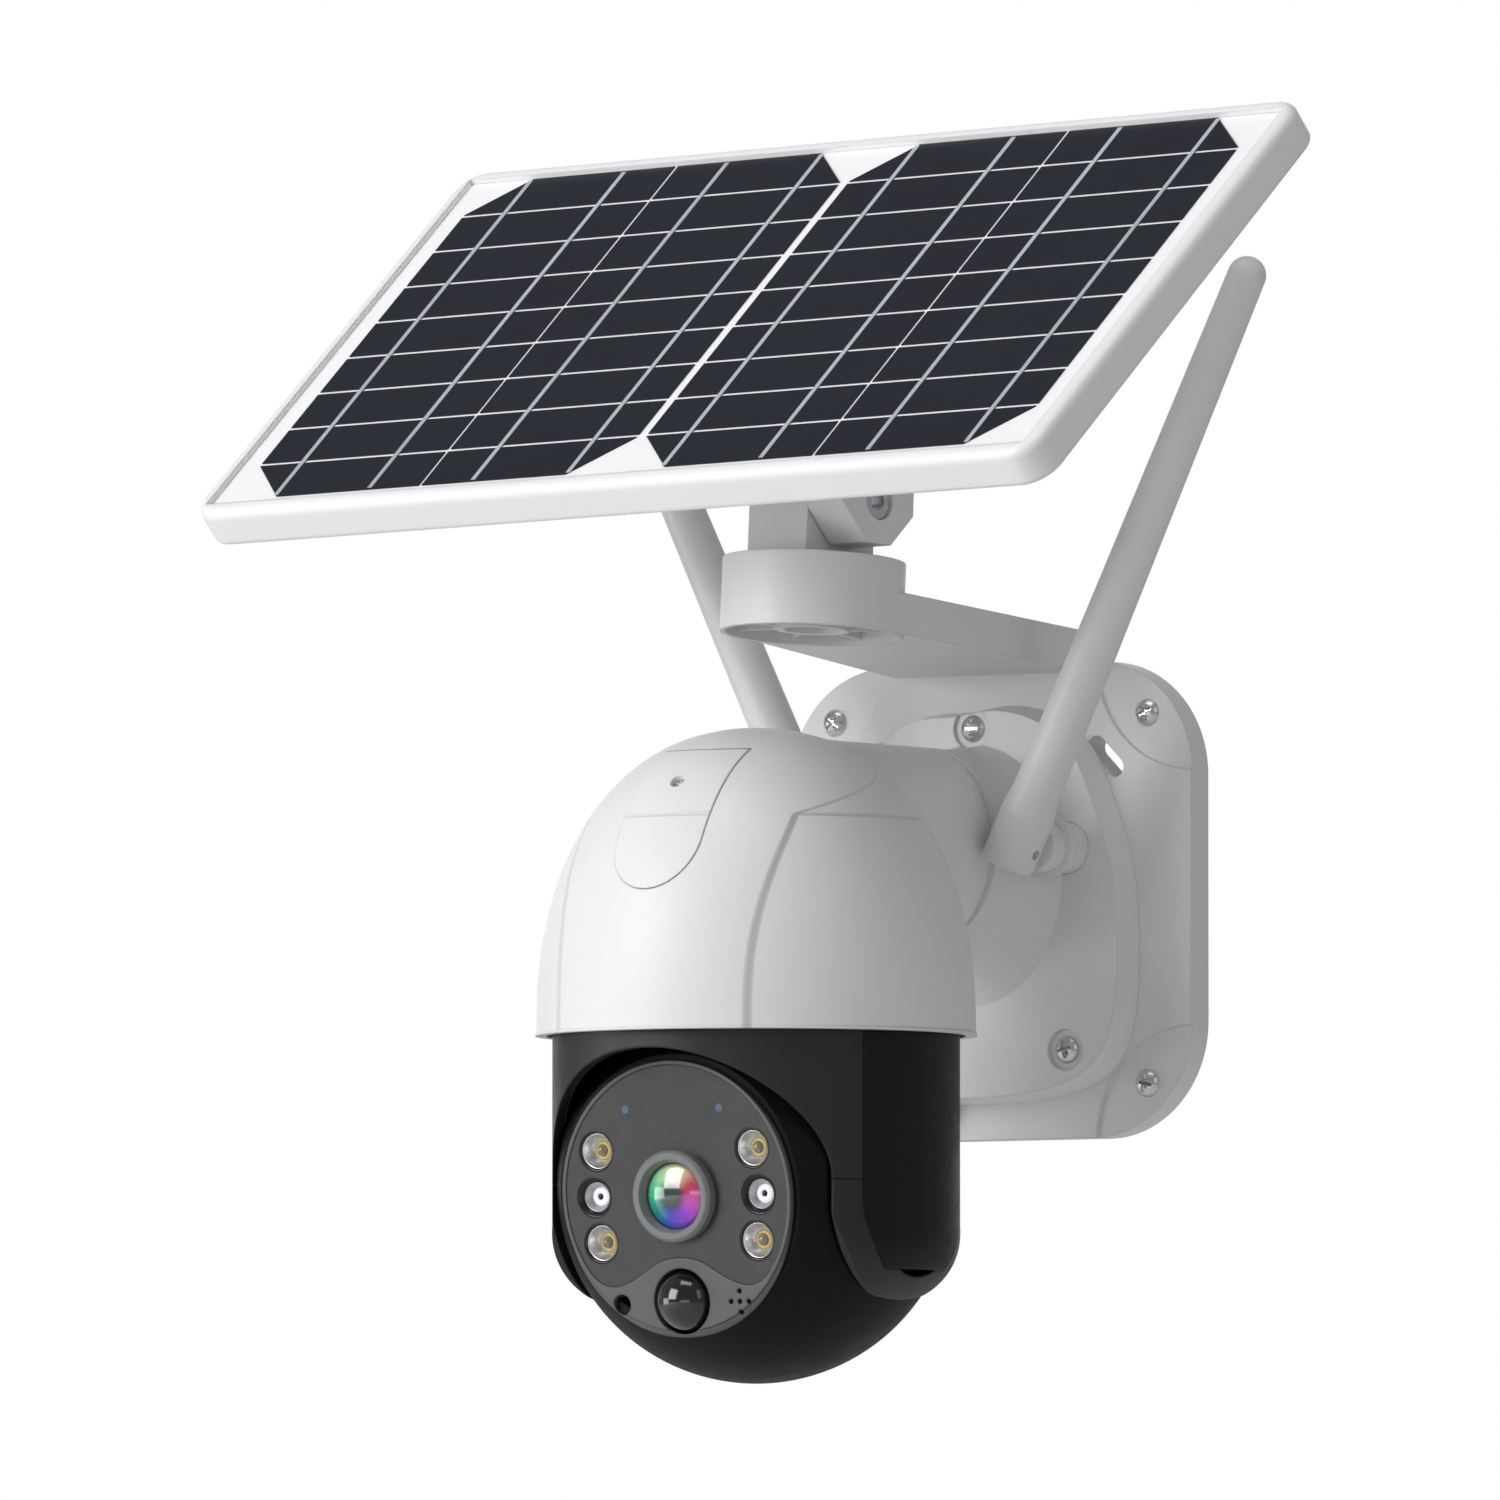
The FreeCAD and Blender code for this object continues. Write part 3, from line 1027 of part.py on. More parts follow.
def make_tilt_pinion():
    """Pinion on the motor's shaft, in mesh with the fixed gear behind it."""
    teeth = size("tilt_pinion_teeth")
    pitch = size("ball_pitch")
    contact = math.radians(pitch) * size("tilt_teeth") / teeth
    pinion = gear(teeth, size("tilt_module"), 3.2, math.pi + math.pi / teeth + contact)
    pinion.Placement = Placement(Vector(31.2, 0, 0), Rotation(Y, 90) * Rotation(Z, 90))
    stem = cylinder(1.5, 22, 34.4, (0, 0), "x")
    feature("tilt_pinion", fuse_all([pinion, stem]),
            ball_pose() * Placement(Vector(0, tilt_spacing(), 0), Rotation()))


# ---- ball and its face: u is x, v is z and w is -y before the ball is pitched

def make_ball():
    """Hollow ball, flat at the sides and at the face."""
    pose, r, half, wall = ball_pose(), size("ball_r"), size("ball_half_width"), size("ball_wall")
    outer = Part.makeSphere(r).common(box((-half, half), (-60, 60), (-60, 60)))
    outer = outer.makeFillet(1.2, [e for e in outer.Edges if abs(abs(e.BoundBox.XMin) - half) < 0.01
                                   and e.BoundBox.XLength < 0.01])
    inner = Part.makeSphere(r - wall).common(box((-half + wall, half - wall), (-60, 60), (-60, 60)))
    inner = inner.cut(box((-60, 60), (-60, -size("face_w") + 1.6), (-60, 60)))
    tools = [cylinder(size("plug_r") + 0.1, 20, 60, (0, 0), "-y"),
             box((-60, 60), (-60, -size("face_w")), (-60, 60)),
             cylinder(size("axle_r") + size("running"), -60, 60, (0, 0), "x"),
             cylinder(size("motion_pit_r") + 0.1, 20, 60, (0, size("motion_v")), "-y")]
    feature("ball_shell", outer.cut([inner] + tools), pose)


def lower_edge():
    """Lower edge of the dark panel, from left to right: two lobes and a rise over the motion sensor."""
    half = [(26.2, -17.0), (18.3, -21.3), (10.5, -18.2), (5.2, -15.4)]
    return [(-u, v) for u, v in half] + [(0, -14.6)] + [(u, v) for u, v in reversed(half)]


def panel_outline(grow, w, depth):
    """The dark panel's outline as a column along w: a circle above the lower edge."""
    r = size("face_panel_r") + grow
    inside = [Vector(u, -w, v - grow) for u, v in lower_edge()]
    left, right = Vector(-45, -w, -15 - grow), Vector(45, -w, -15 - grow)
    edges = [Part.makeLine(left, inside[0]), curve(inside), Part.makeLine(inside[-1], right),
             Part.makeLine(right, Vector(45, -w, 60)),
             Part.makeLine(Vector(45, -w, 60), Vector(-45, -w, 60)),
             Part.makeLine(Vector(-45, -w, 60), left)]
    return prism(edges, -Y * depth).common(cylinder(r, w, w + depth, (0, 0), "-y"))


def lamp_spots():
    return [(a * size("warm_u"), b * size("warm_v")) for a in (-1, 1) for b in (-1, 1)]


def infrared_spots():
    return [(-size("infrared_u"), 0), (size("infrared_u"), 0)]


def make_face():
    """Bezel with its plug and the dark panel set into it."""
    pose, face, front = ball_pose(), size("face_w"), size("bezel_w")
    flange = cylinder(size("bezel_r"), face, front, (0, 0), "-y")
    lip = cylinder(size("bezel_r") - 0.4, face, front - 0.5, (0, -2.2), "-y")
    plug = cylinder(size("plug_r"), size("plug_w"), face + 0.1, (0, 0), "-y")
    body = fuse_all([flange, lip, plug]).common(Part.makeSphere(size("ball_r") + 0.1))
    seat = panel_outline(0.15, size("panel_w") - 0.1, 5)
    low = size("plug_w") - 1
    tools = [seat, cylinder(size("motion_pit_r"), low, 40, (0, size("motion_v")), "-y"),
             cylinder(size("lens_ring_r") - 0.7, low, 40, (0, 0), "-y"),
             cylinder(size("light_r"), low, 40, (size("light_u"), size("light_v")), "-y")]
    tools += [cylinder(size("lamp_r") + 0.05, low, 40, spot, "-y")
              for spot in lamp_spots() + infrared_spots()]
    tools += [cylinder(size("status_r") + 0.05, low, 40, (a * size("status_u"), size("status_v")), "-y")
              for a in (-1, 1)]
    for du, dv in ((0, 0), (1, 0), (-1, 0), (0, 1), (0, -1)):
        spot = (size("mic_u") + du * size("mic_pitch"), size("mic_v") + dv * size("mic_pitch"))
        tools.append(cylinder(size("mic_r"), low, 40, spot, "-y"))
    feature("face_bezel", fuse_all([body.cut(tools)]), pose)
    panel = panel_outline(0, size("panel_w"), 1.0)
    tools = [cylinder(size("lens_ring_r") + 0.05, low, 40, (0, 0), "-y")]
    tools += [cylinder(size("lamp_r") + 0.05, low, 40, spot, "-y")
              for spot in lamp_spots() + infrared_spots()]
    tools += [cylinder(size("status_r") + 0.05, low, 40, (a * size("status_u"), size("status_v")), "-y")
              for a in (-1, 1)]
    feature("face_panel", panel.cut(tools), pose)


def cone_along(r1, r2, low, high, at=(0, 0)):
    return Part.makeCone(r1, r2, high - low, Vector(at[0], -low, at[1]), -Y)


def make_lens():
    """Ring, front element, barrel and image board."""
    pose, ring_r, ring_w, lens_r = ball_pose(), size("lens_ring_r"), size("lens_ring_w"), size("lens_r")
    low = size("panel_w") + 0.02
    ring = cylinder(ring_r, low, ring_w - 0.8, (0, 0), "-y")
    ring = ring.fuse(cone_along(ring_r, ring_r - 0.8, ring_w - 0.8, ring_w))
    tail = cylinder(ring_r - 0.8, low - 3, low + 0.1, (0, 0), "-y")
    funnel = cone_along(lens_r + 0.1, lens_r + 0.9, low + 1.8, ring_w + 0.01)
    bore = cylinder(lens_r + 0.1, low - 4, low + 1.9, (0, 0), "-y")
    feature("lens_ring", fuse_all([ring, tail]).cut([funnel, bore]), pose)
    bulge = 16.0
    front = ring_w - 0.4
    glass = Part.makeSphere(bulge, Vector(0, -(front - bulge), 0))
    feature("lens_glass", glass.common(cylinder(lens_r, low - 2, front + 1, (0, 0), "-y")), pose)
    barrel = fuse_all([cylinder(lens_r, 22, low - 2.05, (0, 0), "-y"),
                       cylinder(6.6, 12.0, 22.1, (0, 0), "-y"),
                       box((-8, 8), (-13.5, -12.0), (-8, 8))])
    feature("lens_barrel", barrel, pose)
    board = block("image_pcb", ("-13", "-11.95", "-13"), ("26", "1.6", "26"))
    chips = [block("image_chip%d" % k, (x, "-10.4", z), (dx, "1.8", dz))
             for k, (x, z, dx, dz) in enumerate((("-5", "-5", "10", "10"), ("7", "-10", "4", "8"),
                                                 ("-11", "4", "5", "7")))]
    node("image_board", union("image_all", [board] + chips), pose)


def make_lamps():
    """Reflectors, their clear fronts, the lamp board and the status lights."""
    pose, r, low, high = ball_pose(), size("lamp_r"), size("plug_w") + 0.2, size("panel_w") + 0.9

    def cup(spot):
        body = cylinder(r, low, high, spot, "-y")
        bowl = cone_along(1.9, r - 0.7, low + 0.6, high - 0.9, spot)
        rim = cylinder(r - 0.7, high - 0.92, high + 1, spot, "-y")
        hole = cylinder(1.9, low - 1, low + 0.7, spot, "-y")
        return body.cut([bowl, rim, hole])

    feature("flood_reflectors", Part.makeCompound([cup(spot) for spot in lamp_spots()]), pose)
    feature("infrared_reflectors", Part.makeCompound([cup(spot) for spot in infrared_spots()]), pose)
    fronts = []
    for spot in lamp_spots() + infrared_spots():
        disc = cylinder(r - 0.75, high - 0.85, high + 0.6, spot, "-y")
        dome = Part.makeSphere(13.0, Vector(spot[0], -(high + 0.5 - 13.0), spot[1]))
        fronts.append(disc.common(dome))
    feature("lamp_lenses", Part.makeCompound(fronts), pose)
    board = cylinder(28.6, low - 2.6, low - 1.0, (0, 0), "-y")
    chips = [cylinder(1.6, low - 1.1, low + 0.9, spot, "-y") for spot in lamp_spots() + infrared_spots()]
    board = board.cut([cylinder(size("lens_r") + 0.4, 0, 60, (0, 0), "-y"),
                       cylinder(size("motion_pit_r") - 0.6, 0, 60, (0, size("motion_v")), "-y")])
    feature("lamp_board", fuse_all([board] + chips), pose)
    lights = [cylinder(size("status_r"), low - 0.95, size("panel_w") + 0.95,
                       (a * size("status_u"), size("status_v")), "-y")
              for a in (-1, 1)]
    feature("status_lights", Part.makeCompound(lights), pose)


def make_motion_sensor():
    """Black ball lens of the motion sensor with its stem."""
    at = ("0", "-motion_w", "motion_v")
    globe = ball("motion_globe", at, "motion_r")
    front = block("motion_front", ("-20", "-60", "-60"), ("40", "60 - plug_w + 1.5", "60"))
    cap = common("motion_cap", [globe, front])
    stem = rod("motion_stem", ("0", "-(plug_w - 2.2)", "motion_v"), "motion_r - 0.6", "2.6", "-y")
    inner = ball("motion_inner", at, "motion_r - 1.2")
    node("motion_lens", minus("motion_all", union("motion_solid", [cap, stem]), [inner]), ball_pose())


def build():
    make_wall_plate()
    make_plate_cover()
    make_plate_screws()
    make_power_inlet()
    make_solar_arm()
    make_swivel()
    make_panel()
    make_cells()
    make_battery_box()
    make_tilt_ear()
    make_antennas()
    make_dome()
    make_pan_base()
    make_pan_drive()
    make_yoke()
    make_tilt_drive()
    make_tilt_pinion()
    make_ball()
    make_face()
    make_lens()
    make_lamps()
    make_motion_sensor()


def check():
    """Stop before anything is written if an object failed or a shape is empty or not valid."""
    doc.recompute()
    for item in doc.Objects:
        if "Invalid" in item.State or "Error" in item.State:
            raise RuntimeError("%s did not compute" % item.Label)
    for item in NODES:
        shape = item.Shape
        if shape.isNull() or not shape.isValid() or not shape.Solids:
            raise RuntimeError("%s has no valid shape" % item.Label)


build()
check()
os.makedirs("parts", exist_ok=True)
for item in NODES:
    item.Shape.exportStep(os.path.join("parts", item.Label + ".step"))
    print("%-22s solids %2d  volume %10.1f" % (item.Label, len(item.Shape.Solids), item.Shape.Volume))
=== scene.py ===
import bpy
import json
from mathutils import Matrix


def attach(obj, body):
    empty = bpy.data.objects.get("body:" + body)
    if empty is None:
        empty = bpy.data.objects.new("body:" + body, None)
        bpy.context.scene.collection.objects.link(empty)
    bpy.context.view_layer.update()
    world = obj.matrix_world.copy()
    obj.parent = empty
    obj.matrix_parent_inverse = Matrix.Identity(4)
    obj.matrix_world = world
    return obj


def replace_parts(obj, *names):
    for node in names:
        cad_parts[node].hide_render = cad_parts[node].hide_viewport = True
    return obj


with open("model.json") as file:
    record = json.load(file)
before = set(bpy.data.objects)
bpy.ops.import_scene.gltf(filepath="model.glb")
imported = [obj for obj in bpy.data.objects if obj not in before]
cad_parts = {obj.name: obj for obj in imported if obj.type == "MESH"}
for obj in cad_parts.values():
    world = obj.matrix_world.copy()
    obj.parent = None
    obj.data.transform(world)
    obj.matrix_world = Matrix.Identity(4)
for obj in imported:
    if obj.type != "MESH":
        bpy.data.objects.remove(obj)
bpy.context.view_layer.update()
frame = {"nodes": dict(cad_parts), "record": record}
import json
import math

import bmesh
import bpy
from mathutils import Vector

# Metres, row frame. Heights on the dome are measured from the centre of the ball.
TILT_AXIS = next(j for j in frame["record"]["behaviour"]["joints"] if j["name"] == "tilt")["pos_m"]
AXIS_Y, BALL_Z = TILT_AXIS[1], TILT_AXIS[2]
PITCH = math.radians(6)
RIM_H = 0.0354
SEAM_H = 0.0870
DOOR_HALF = 0.012
LENS_R = 0.0079
MM = 0.001
VIEW = Vector((-0.5439, 0.8375, 0.0523))
CAMERA = Vector((2.7126, -4.2916, -0.2284))


# ---------------------------------------------------------------- node helpers

class Graph:
    """Node tree of one material or world, with short ways to add and link its nodes."""

    def __init__(self, name, world=False):
        owner = bpy.data.worlds.new(name) if world else bpy.data.materials.new(name)
        owner.use_nodes = True
        self.owner, self.tree = owner, owner.node_tree
        self.tree.nodes.clear()

    def add(self, kind, links=None, **values):
        """A new node with its properties set, and its sockets linked or filled in."""
        node = self.tree.nodes.new(kind)
        for key, value in values.items():
            setattr(node, key, value)
        for socket, value in (links or {}).items():
            target = node.inputs[socket]
            if isinstance(value, bpy.types.NodeSocket):
                self.tree.links.new(value, target)
            else:
                target.default_value = value
        return node

    def surface(self, node, output="BSDF"):
        """Ends the tree with this shader and gives the material."""
        self.add("ShaderNodeOutputMaterial", {"Surface": node.outputs[output]})
        return self.owner

    def math(self, operation, *values):
        return self.add("ShaderNodeMath", dict(enumerate(values)), operation=operation).outputs[0]

    def times(self, a, b):
        return self.math("MULTIPLY", a, b)

    def minus(self, a, b):
        return self.math("SUBTRACT", a, b)

    def spread(self, value, low, high, start=0.0, end=1.0):
        """Maps value, from start to end, onto low to high."""
        sockets = {"Value": value, "From Min": start, "From Max": end, "To Min": low, "To Max": high}
        return self.add("ShaderNodeMapRange", sockets).outputs["Result"]

    def step(self, value, low, high):
        """Smooth step from 0 at low to 1 at high."""
        node = self.add("ShaderNodeMapRange", {"Value": value, "From Min": low, "From Max": high})
        node.interpolation_type = "SMOOTHSTEP"
        return node.outputs["Result"]

    def mix(self, factor, a, b):
        node = self.tree.nodes.new("ShaderNodeMix")
        node.data_type = "RGBA"
        for name, value in (("Factor", factor), ("A", a), ("B", b)):
            if isinstance(value, bpy.types.NodeSocket):
                self.tree.links.new(value, node.inputs[name])
            else:
                node.inputs[name].default_value = value
        return node.outputs["Result"]

    def colour(self, factor, a, b):
        """Ramp from colour a to colour b."""
        node = self.tree.nodes.new("ShaderNodeValToRGB")
        node.color_ramp.elements[0].color = (*a, 1)
        node.color_ramp.elements[1].color = (*b, 1)
        self.tree.links.new(factor, node.inputs["Fac"])
        return node.outputs["Color"]

    def coords(self):
        """Object coordinates, which also sets x, y and z."""
        if not hasattr(self, "object_coords"):
            self.object_coords = self.add("ShaderNodeTexCoord").outputs["Object"]
            split = self.add("ShaderNodeSeparateXYZ", {"Vector": self.object_coords})
            self.x, self.y, self.z = split.outputs
        return self.object_coords

    def noise(self, scale, detail=4.0, rough=0.55):
        sockets = {"Vector": self.coords(), "Scale": scale, "Detail": detail, "Roughness": rough}
        return self.add("ShaderNodeTexNoise", sockets).outputs["Fac"]


def plastic(name, colour, rough=0.42, grain=0.00002, shade=0.03, relief=None, edge=0.0006, coat=0.0, dust=0.0,
            gloss=0.5):
    """Moulded plastic: fine grain, uneven gloss, faint mottling, soft edges and optional relief."""
    g = Graph(name)
    slow, fine, scuff = g.noise(22.0), g.noise(2400.0, 2.0), g.noise(160.0, 6.0, 0.7)
    darker = tuple(max(0.0, c * (1 - shade)) for c in colour)
    base = g.colour(slow, darker, colour)
    if dust:
        outward = g.add("ShaderNodeNewGeometry").outputs["Normal"]
        up = g.add("ShaderNodeSeparateXYZ", {"Vector": outward}).outputs["Z"]
        lying = g.times(g.step(up, 0.3, 1.0), g.step(scuff, 0.45, 0.75))
        grey = tuple(0.5 * c + 0.5 * d for c, d in zip(colour, (0.55, 0.53, 0.5)))
        amount = g.times(lying, dust)
        base = g.mix(amount, base, (*grey, 1))
    gloss_map = g.spread(scuff, rough - 0.05, rough + 0.07, 0.3, 0.7)
    bump = g.add("ShaderNodeBump", {"Strength": 0.5, "Distance": grain, "Height": fine})
    if edge:
        soft = g.add("ShaderNodeBevel", {"Radius": edge})
        soft.samples = 4
        g.tree.links.new(soft.outputs["Normal"], bump.inputs["Normal"])
    normal = bump.outputs["Normal"]
    if relief is not None:
        height, line = relief(g)
        deep = g.add("ShaderNodeBump", {"Strength": 1.0, "Distance": 0.9 * MM, "Height": height,
                                        "Normal": normal})
        normal = deep.outputs["Normal"]
        shadow = tuple(c * 0.55 for c in colour)
        base = g.mix(line, base, (*shadow, 1))
    shader = g.add("ShaderNodeBsdfPrincipled", {"Base Color": base, "Roughness": gloss_map, "IOR": 1.46,
                                                "Specular IOR Level": gloss, "Normal": normal,
                                                "Coat Weight": coat, "Coat Roughness": 0.08})
    return g.surface(shader)


def metal(name, colour, rough=0.25, scratch=700.0, edge=0.0002):
    """Plated steel: fine directional scratches and uneven gloss."""
    g = Graph(name)
    drawn = g.add("ShaderNodeMapping", {"Vector": g.coords(), "Scale": (1.0, 1.0, 9.0)}).outputs["Vector"]
    scratches = g.add("ShaderNodeTexNoise", {"Vector": drawn, "Scale": scratch, "Detail": 3.0}).outputs["Fac"]
    slow = g.noise(300.0, 3.0)
    base = g.colour(slow, tuple(c * 0.82 for c in colour), colour)
    gloss = g.spread(scratches, rough * 0.6, rough * 1.5)
    soft = g.add("ShaderNodeBevel", {"Radius": edge})
    bump = g.add("ShaderNodeBump", {"Strength": 0.3, "Distance": 0.02 * MM, "Height": scratches,
                                    "Normal": soft.outputs["Normal"]})
    shader = g.add("ShaderNodeBsdfPrincipled", {"Base Color": base, "Metallic": 1.0, "Roughness": gloss,
                                                "Normal": bump.outputs["Normal"]})
    return g.surface(shader)


def dome_relief(g):
    """Recessed side panels, the seam over them and the crease above, as a height and its dark lines."""
    h = g.minus(g.z, BALL_Z)
    back = g.times(g.minus(g.y, AXIS_Y), -1.0)
    around = g.math("ARCTAN2", g.math("ABSOLUTE", g.x), back)
    facing = g.step(around, math.radians(112), math.radians(100))
    climb = g.math("DIVIDE", g.math("MAXIMUM", g.minus(h, RIM_H), 0.0), SEAM_H - RIM_H)
    edge = g.math("ADD", g.times(g.math("POWER", climb, 2.6), math.radians(16)), math.radians(29))
    side = g.step(g.minus(around, edge), 0.0, 0.055)
    under = g.step(g.minus(SEAM_H, h), 0.0, 0.0007)
    crease = g.math("ADD", g.times(g.minus(h, SEAM_H), 85.0), math.radians(45))
    cap = g.times(g.step(g.minus(around, crease), 0.0, 0.07),
                 g.minus(1.0, under))
    near_seam = g.step(g.math("ABSOLUTE", g.minus(h, SEAM_H)), 0.0006, 0.0002)
    seam = g.times(g.times(near_seam, side), facing)
    over_door = g.times(g.math("LESS_THAN", g.math("ABSOLUTE", g.x), DOOR_HALF),
                       g.math("GREATER_THAN", back, 0.0))
    door = g.times(near_seam, over_door)
    lines = g.math("MAXIMUM", g.times(seam, 0.30), g.times(door, 0.16))
    sunk = g.math("ADD", g.times(side, under), g.times(cap, 0.5))
    height = g.math("ADD", g.times(sunk, facing), g.times(door, 0.25))
    return g.times(height, -1.0), lines


def glass(name, tint, rough=0.02):
    """Clear moulded front with faint smudges."""
    g = Graph(name)
    smudge = g.noise(60.0, 6.0, 0.65)
    gloss = g.spread(smudge, rough, rough + 0.06, 0.45, 0.75)
    wave = g.add("ShaderNodeBump", {"Strength": 0.05, "Distance": 0.0001, "Height": g.noise(30.0)})
    shader = g.add("ShaderNodeBsdfPrincipled", {"Base Color": (*tint, 1), "Transmission Weight": 1.0,
                                                "Roughness": gloss, "IOR": 1.49,
                                                "Normal": wave.outputs["Normal"]})
    return g.surface(shader)


def film(name):
    """Thin clear sheet: mostly see-through, with a soft gloss on its outer side."""
    g = Graph(name)
    smudge = g.noise(40.0, 6.0, 0.7)
    gloss = g.spread(smudge, 0.10, 0.24, 0.35, 0.75)
    clear = g.add("ShaderNodeBsdfTransparent")
    shine = g.add("ShaderNodeBsdfGlossy", {"Color": (0.9, 0.93, 1.0, 1), "Roughness": gloss})
    rim = g.add("ShaderNodeFresnel", {"IOR": 1.25}).outputs["Fac"]
    inside = g.add("ShaderNodeNewGeometry").outputs["Backfacing"]
    amount = g.times(g.times(rim, g.minus(1.0, inside)), 0.14)
    mixed = g.add("ShaderNodeMixShader", {0: amount, 1: clear.outputs["BSDF"], 2: shine.outputs["BSDF"]})
    return g.surface(mixed, "Shader")


def silicon():
    """Dark cells with a faint mottling and small glints."""
    g = Graph("silicon_cells")
    tone = g.noise(14.0, 5.0, 0.6)
    spots = g.noise(700.0, 2.0)
    base = g.colour(tone, (0.0035, 0.0040, 0.0085), (0.0070, 0.0085, 0.021))
    glint = g.times(g.step(spots, 0.66, 0.8), 0.05)
    base = g.mix(glint, base, (0.10, 0.12, 0.2, 1))
    shader = g.add("ShaderNodeBsdfPrincipled", {"Base Color": base, "IOR": 1.35,
                                                "Roughness": g.spread(tone, 0.28, 0.46)})
    return g.surface(shader)


def lens_painted_reflection():
    """Front element: dark glass with a painted reflection of its coating, a many-coloured bloom turning round
    the lens, and a faint painted glow.
    """
    g = Graph("lens_painted_reflection")
    g.coords()
    v = g.math("ADD", g.times(g.minus(g.z, BALL_Z), math.cos(PITCH)),
               g.times(g.minus(g.y, AXIS_Y), -math.sin(PITCH)))
    angle = g.math("ARCTAN2", v, g.x)
    squares = g.math("ADD", g.times(g.x, g.x), g.times(v, v))
    radius = g.math("DIVIDE", g.math("SQRT", squares), LENS_R)
    turn = g.math("ADD", g.math("DIVIDE", angle, 2 * math.pi), 0.5)
    # painted reflection: the coating's colours go into the base colour, set by the angle round the lens
    ramp = g.tree.nodes.new("ShaderNodeValToRGB")
    stops = [(0.0, (0.05, 0.40, 0.20)), (0.13, (0.01, 0.20, 0.19)), (0.25, (0.02, 0.03, 0.42)),
             (0.37, (0.20, 0.02, 0.50)), (0.48, (0.50, 0.04, 0.42)), (0.60, (0.42, 0.04, 0.08)),
             (0.75, (0.62, 0.58, 0.34)), (0.88, (0.25, 0.55, 0.28)), (1.0, (0.05, 0.40, 0.20))]
    while len(ramp.color_ramp.elements) < len(stops):
        ramp.color_ramp.elements.new(0.5)
    for element, (at, colour) in zip(ramp.color_ramp.elements, stops):
        element.position, element.color = at, (*colour, 1)
    g.tree.links.new(g.math("ADD", turn, g.times(g.noise(400.0), 0.06)), ramp.inputs["Fac"])
    ring = g.times(g.step(radius, 0.22, 0.62), g.step(radius, 1.03, 0.86))
    inner = g.step(radius, 0.42, 0.2)
    base = g.mix(ring, (0.012, 0.016, 0.02, 1), ramp.outputs["Color"])
    base = g.mix(g.times(inner, 0.85), base, (0.03, 0.05, 0.04, 1))
    # painted glow: the emission makes the lens shine a little by itself, though it is no lamp
    shader = g.add("ShaderNodeBsdfPrincipled", {"Base Color": base, "Roughness": 0.12, "IOR": 1.6,
                                                "Coat Weight": 1.0, "Coat Roughness": 0.02,
                                                "Emission Color": base, "Emission Strength": 0.22})
    return g.surface(shader)


def board_material():
    """Green board with a pattern of tracks."""
    g = Graph("circuit_board")
    tracks = g.add("ShaderNodeTexBrick", {"Vector": g.coords(), "Scale": 260.0, "Mortar Size": 0.012,
                                          "Color1": (0.012, 0.12, 0.045, 1),
                                          "Color2": (0.010, 0.09, 0.035, 1),
                                          "Mortar": (0.03, 0.22, 0.08, 1)})
    bump = g.add("ShaderNodeBump", {"Strength": 0.3, "Distance": 0.0001, "Height": tracks.outputs["Fac"]})
    shader = g.add("ShaderNodeBsdfPrincipled", {"Base Color": tracks.outputs["Color"],
                                                "Normal": bump.outputs["Normal"],
                                                "Roughness": g.spread(g.noise(200.0), 0.3, 0.5)})
    return g.surface(shader)


def glow(name, colour, strength):
    """Mottled colour that shines a little by itself."""
    g = Graph(name)
    tone = g.colour(g.noise(900.0), tuple(c * 0.7 for c in colour), colour)
    shader = g.add("ShaderNodeBsdfPrincipled", {"Base Color": tone, "Roughness": 0.3, "Emission Color": tone,
                                                "Emission Strength": strength})
    return g.surface(shader)


# ---------------------------------------------------------------- materials of the CAD pieces

WHITE = (0.74, 0.745, 0.75)
SHELL = plastic("white_shell", WHITE, rough=0.40, dust=0.12)
DOME = plastic("dome_shell_white", (0.78, 0.782, 0.785), rough=0.40, relief=dome_relief)
FRAME_WHITE = plastic("white_frame", (0.86, 0.865, 0.87), rough=0.34, edge=0.0012, coat=0.1)
BACKSHEET = plastic("backsheet", (0.93, 0.935, 0.94), rough=0.45)
BLACK = plastic("black_shell", (0.022, 0.022, 0.0225), rough=0.42, grain=0.00003, shade=0.12, edge=0.0009,
                gloss=0.4)
# painted shade: the ball and the ear caps are darker copies of the black shell, for the shade on their lower
# and right-hand sides
BALL_SHADED_BLACK = plastic("ball_black_painted_shade", (0.005, 0.005, 0.0053), rough=0.46, grain=0.00003, shade=0.2, gloss=0.16)
CAP_SHADED_BLACK = plastic("cap_black_painted_shade", (0.007, 0.007, 0.0073), rough=0.45, grain=0.00003, shade=0.2, gloss=0.24)
BEZEL = plastic("bezel_grey", (0.105, 0.105, 0.107), rough=0.42, grain=0.00003, edge=0.0007)
FACE = plastic("face_gloss", (0.042, 0.042, 0.043), rough=0.30, grain=0.000004, edge=0, coat=0.15)
RING = plastic("lens_ring_grey", (0.20, 0.20, 0.205), rough=0.34, grain=0.00001, edge=0.0006)
FITTING = plastic("black_fitting", (0.015, 0.015, 0.016), rough=0.45)
MOTION = plastic("motion_gloss", (0.004, 0.004, 0.0045), rough=0.12, grain=0.000002, coat=1.0)
GEAR = plastic("gear_plastic", (0.72, 0.70, 0.62), rough=0.4)
SLEEVE = plastic("cell_sleeve", (0.03, 0.12, 0.42), rough=0.3)
STEEL = metal("plated_steel", (0.72, 0.73, 0.74))
CAN = metal("motor_can", (0.55, 0.56, 0.58), rough=0.35)
RIBBON = plastic("tinned_ribbon", (0.50, 0.52, 0.55), rough=0.35, grain=0.00001, edge=0)
MIRROR = metal("reflector", (0.80, 0.79, 0.77), rough=0.30, edge=0.00005)
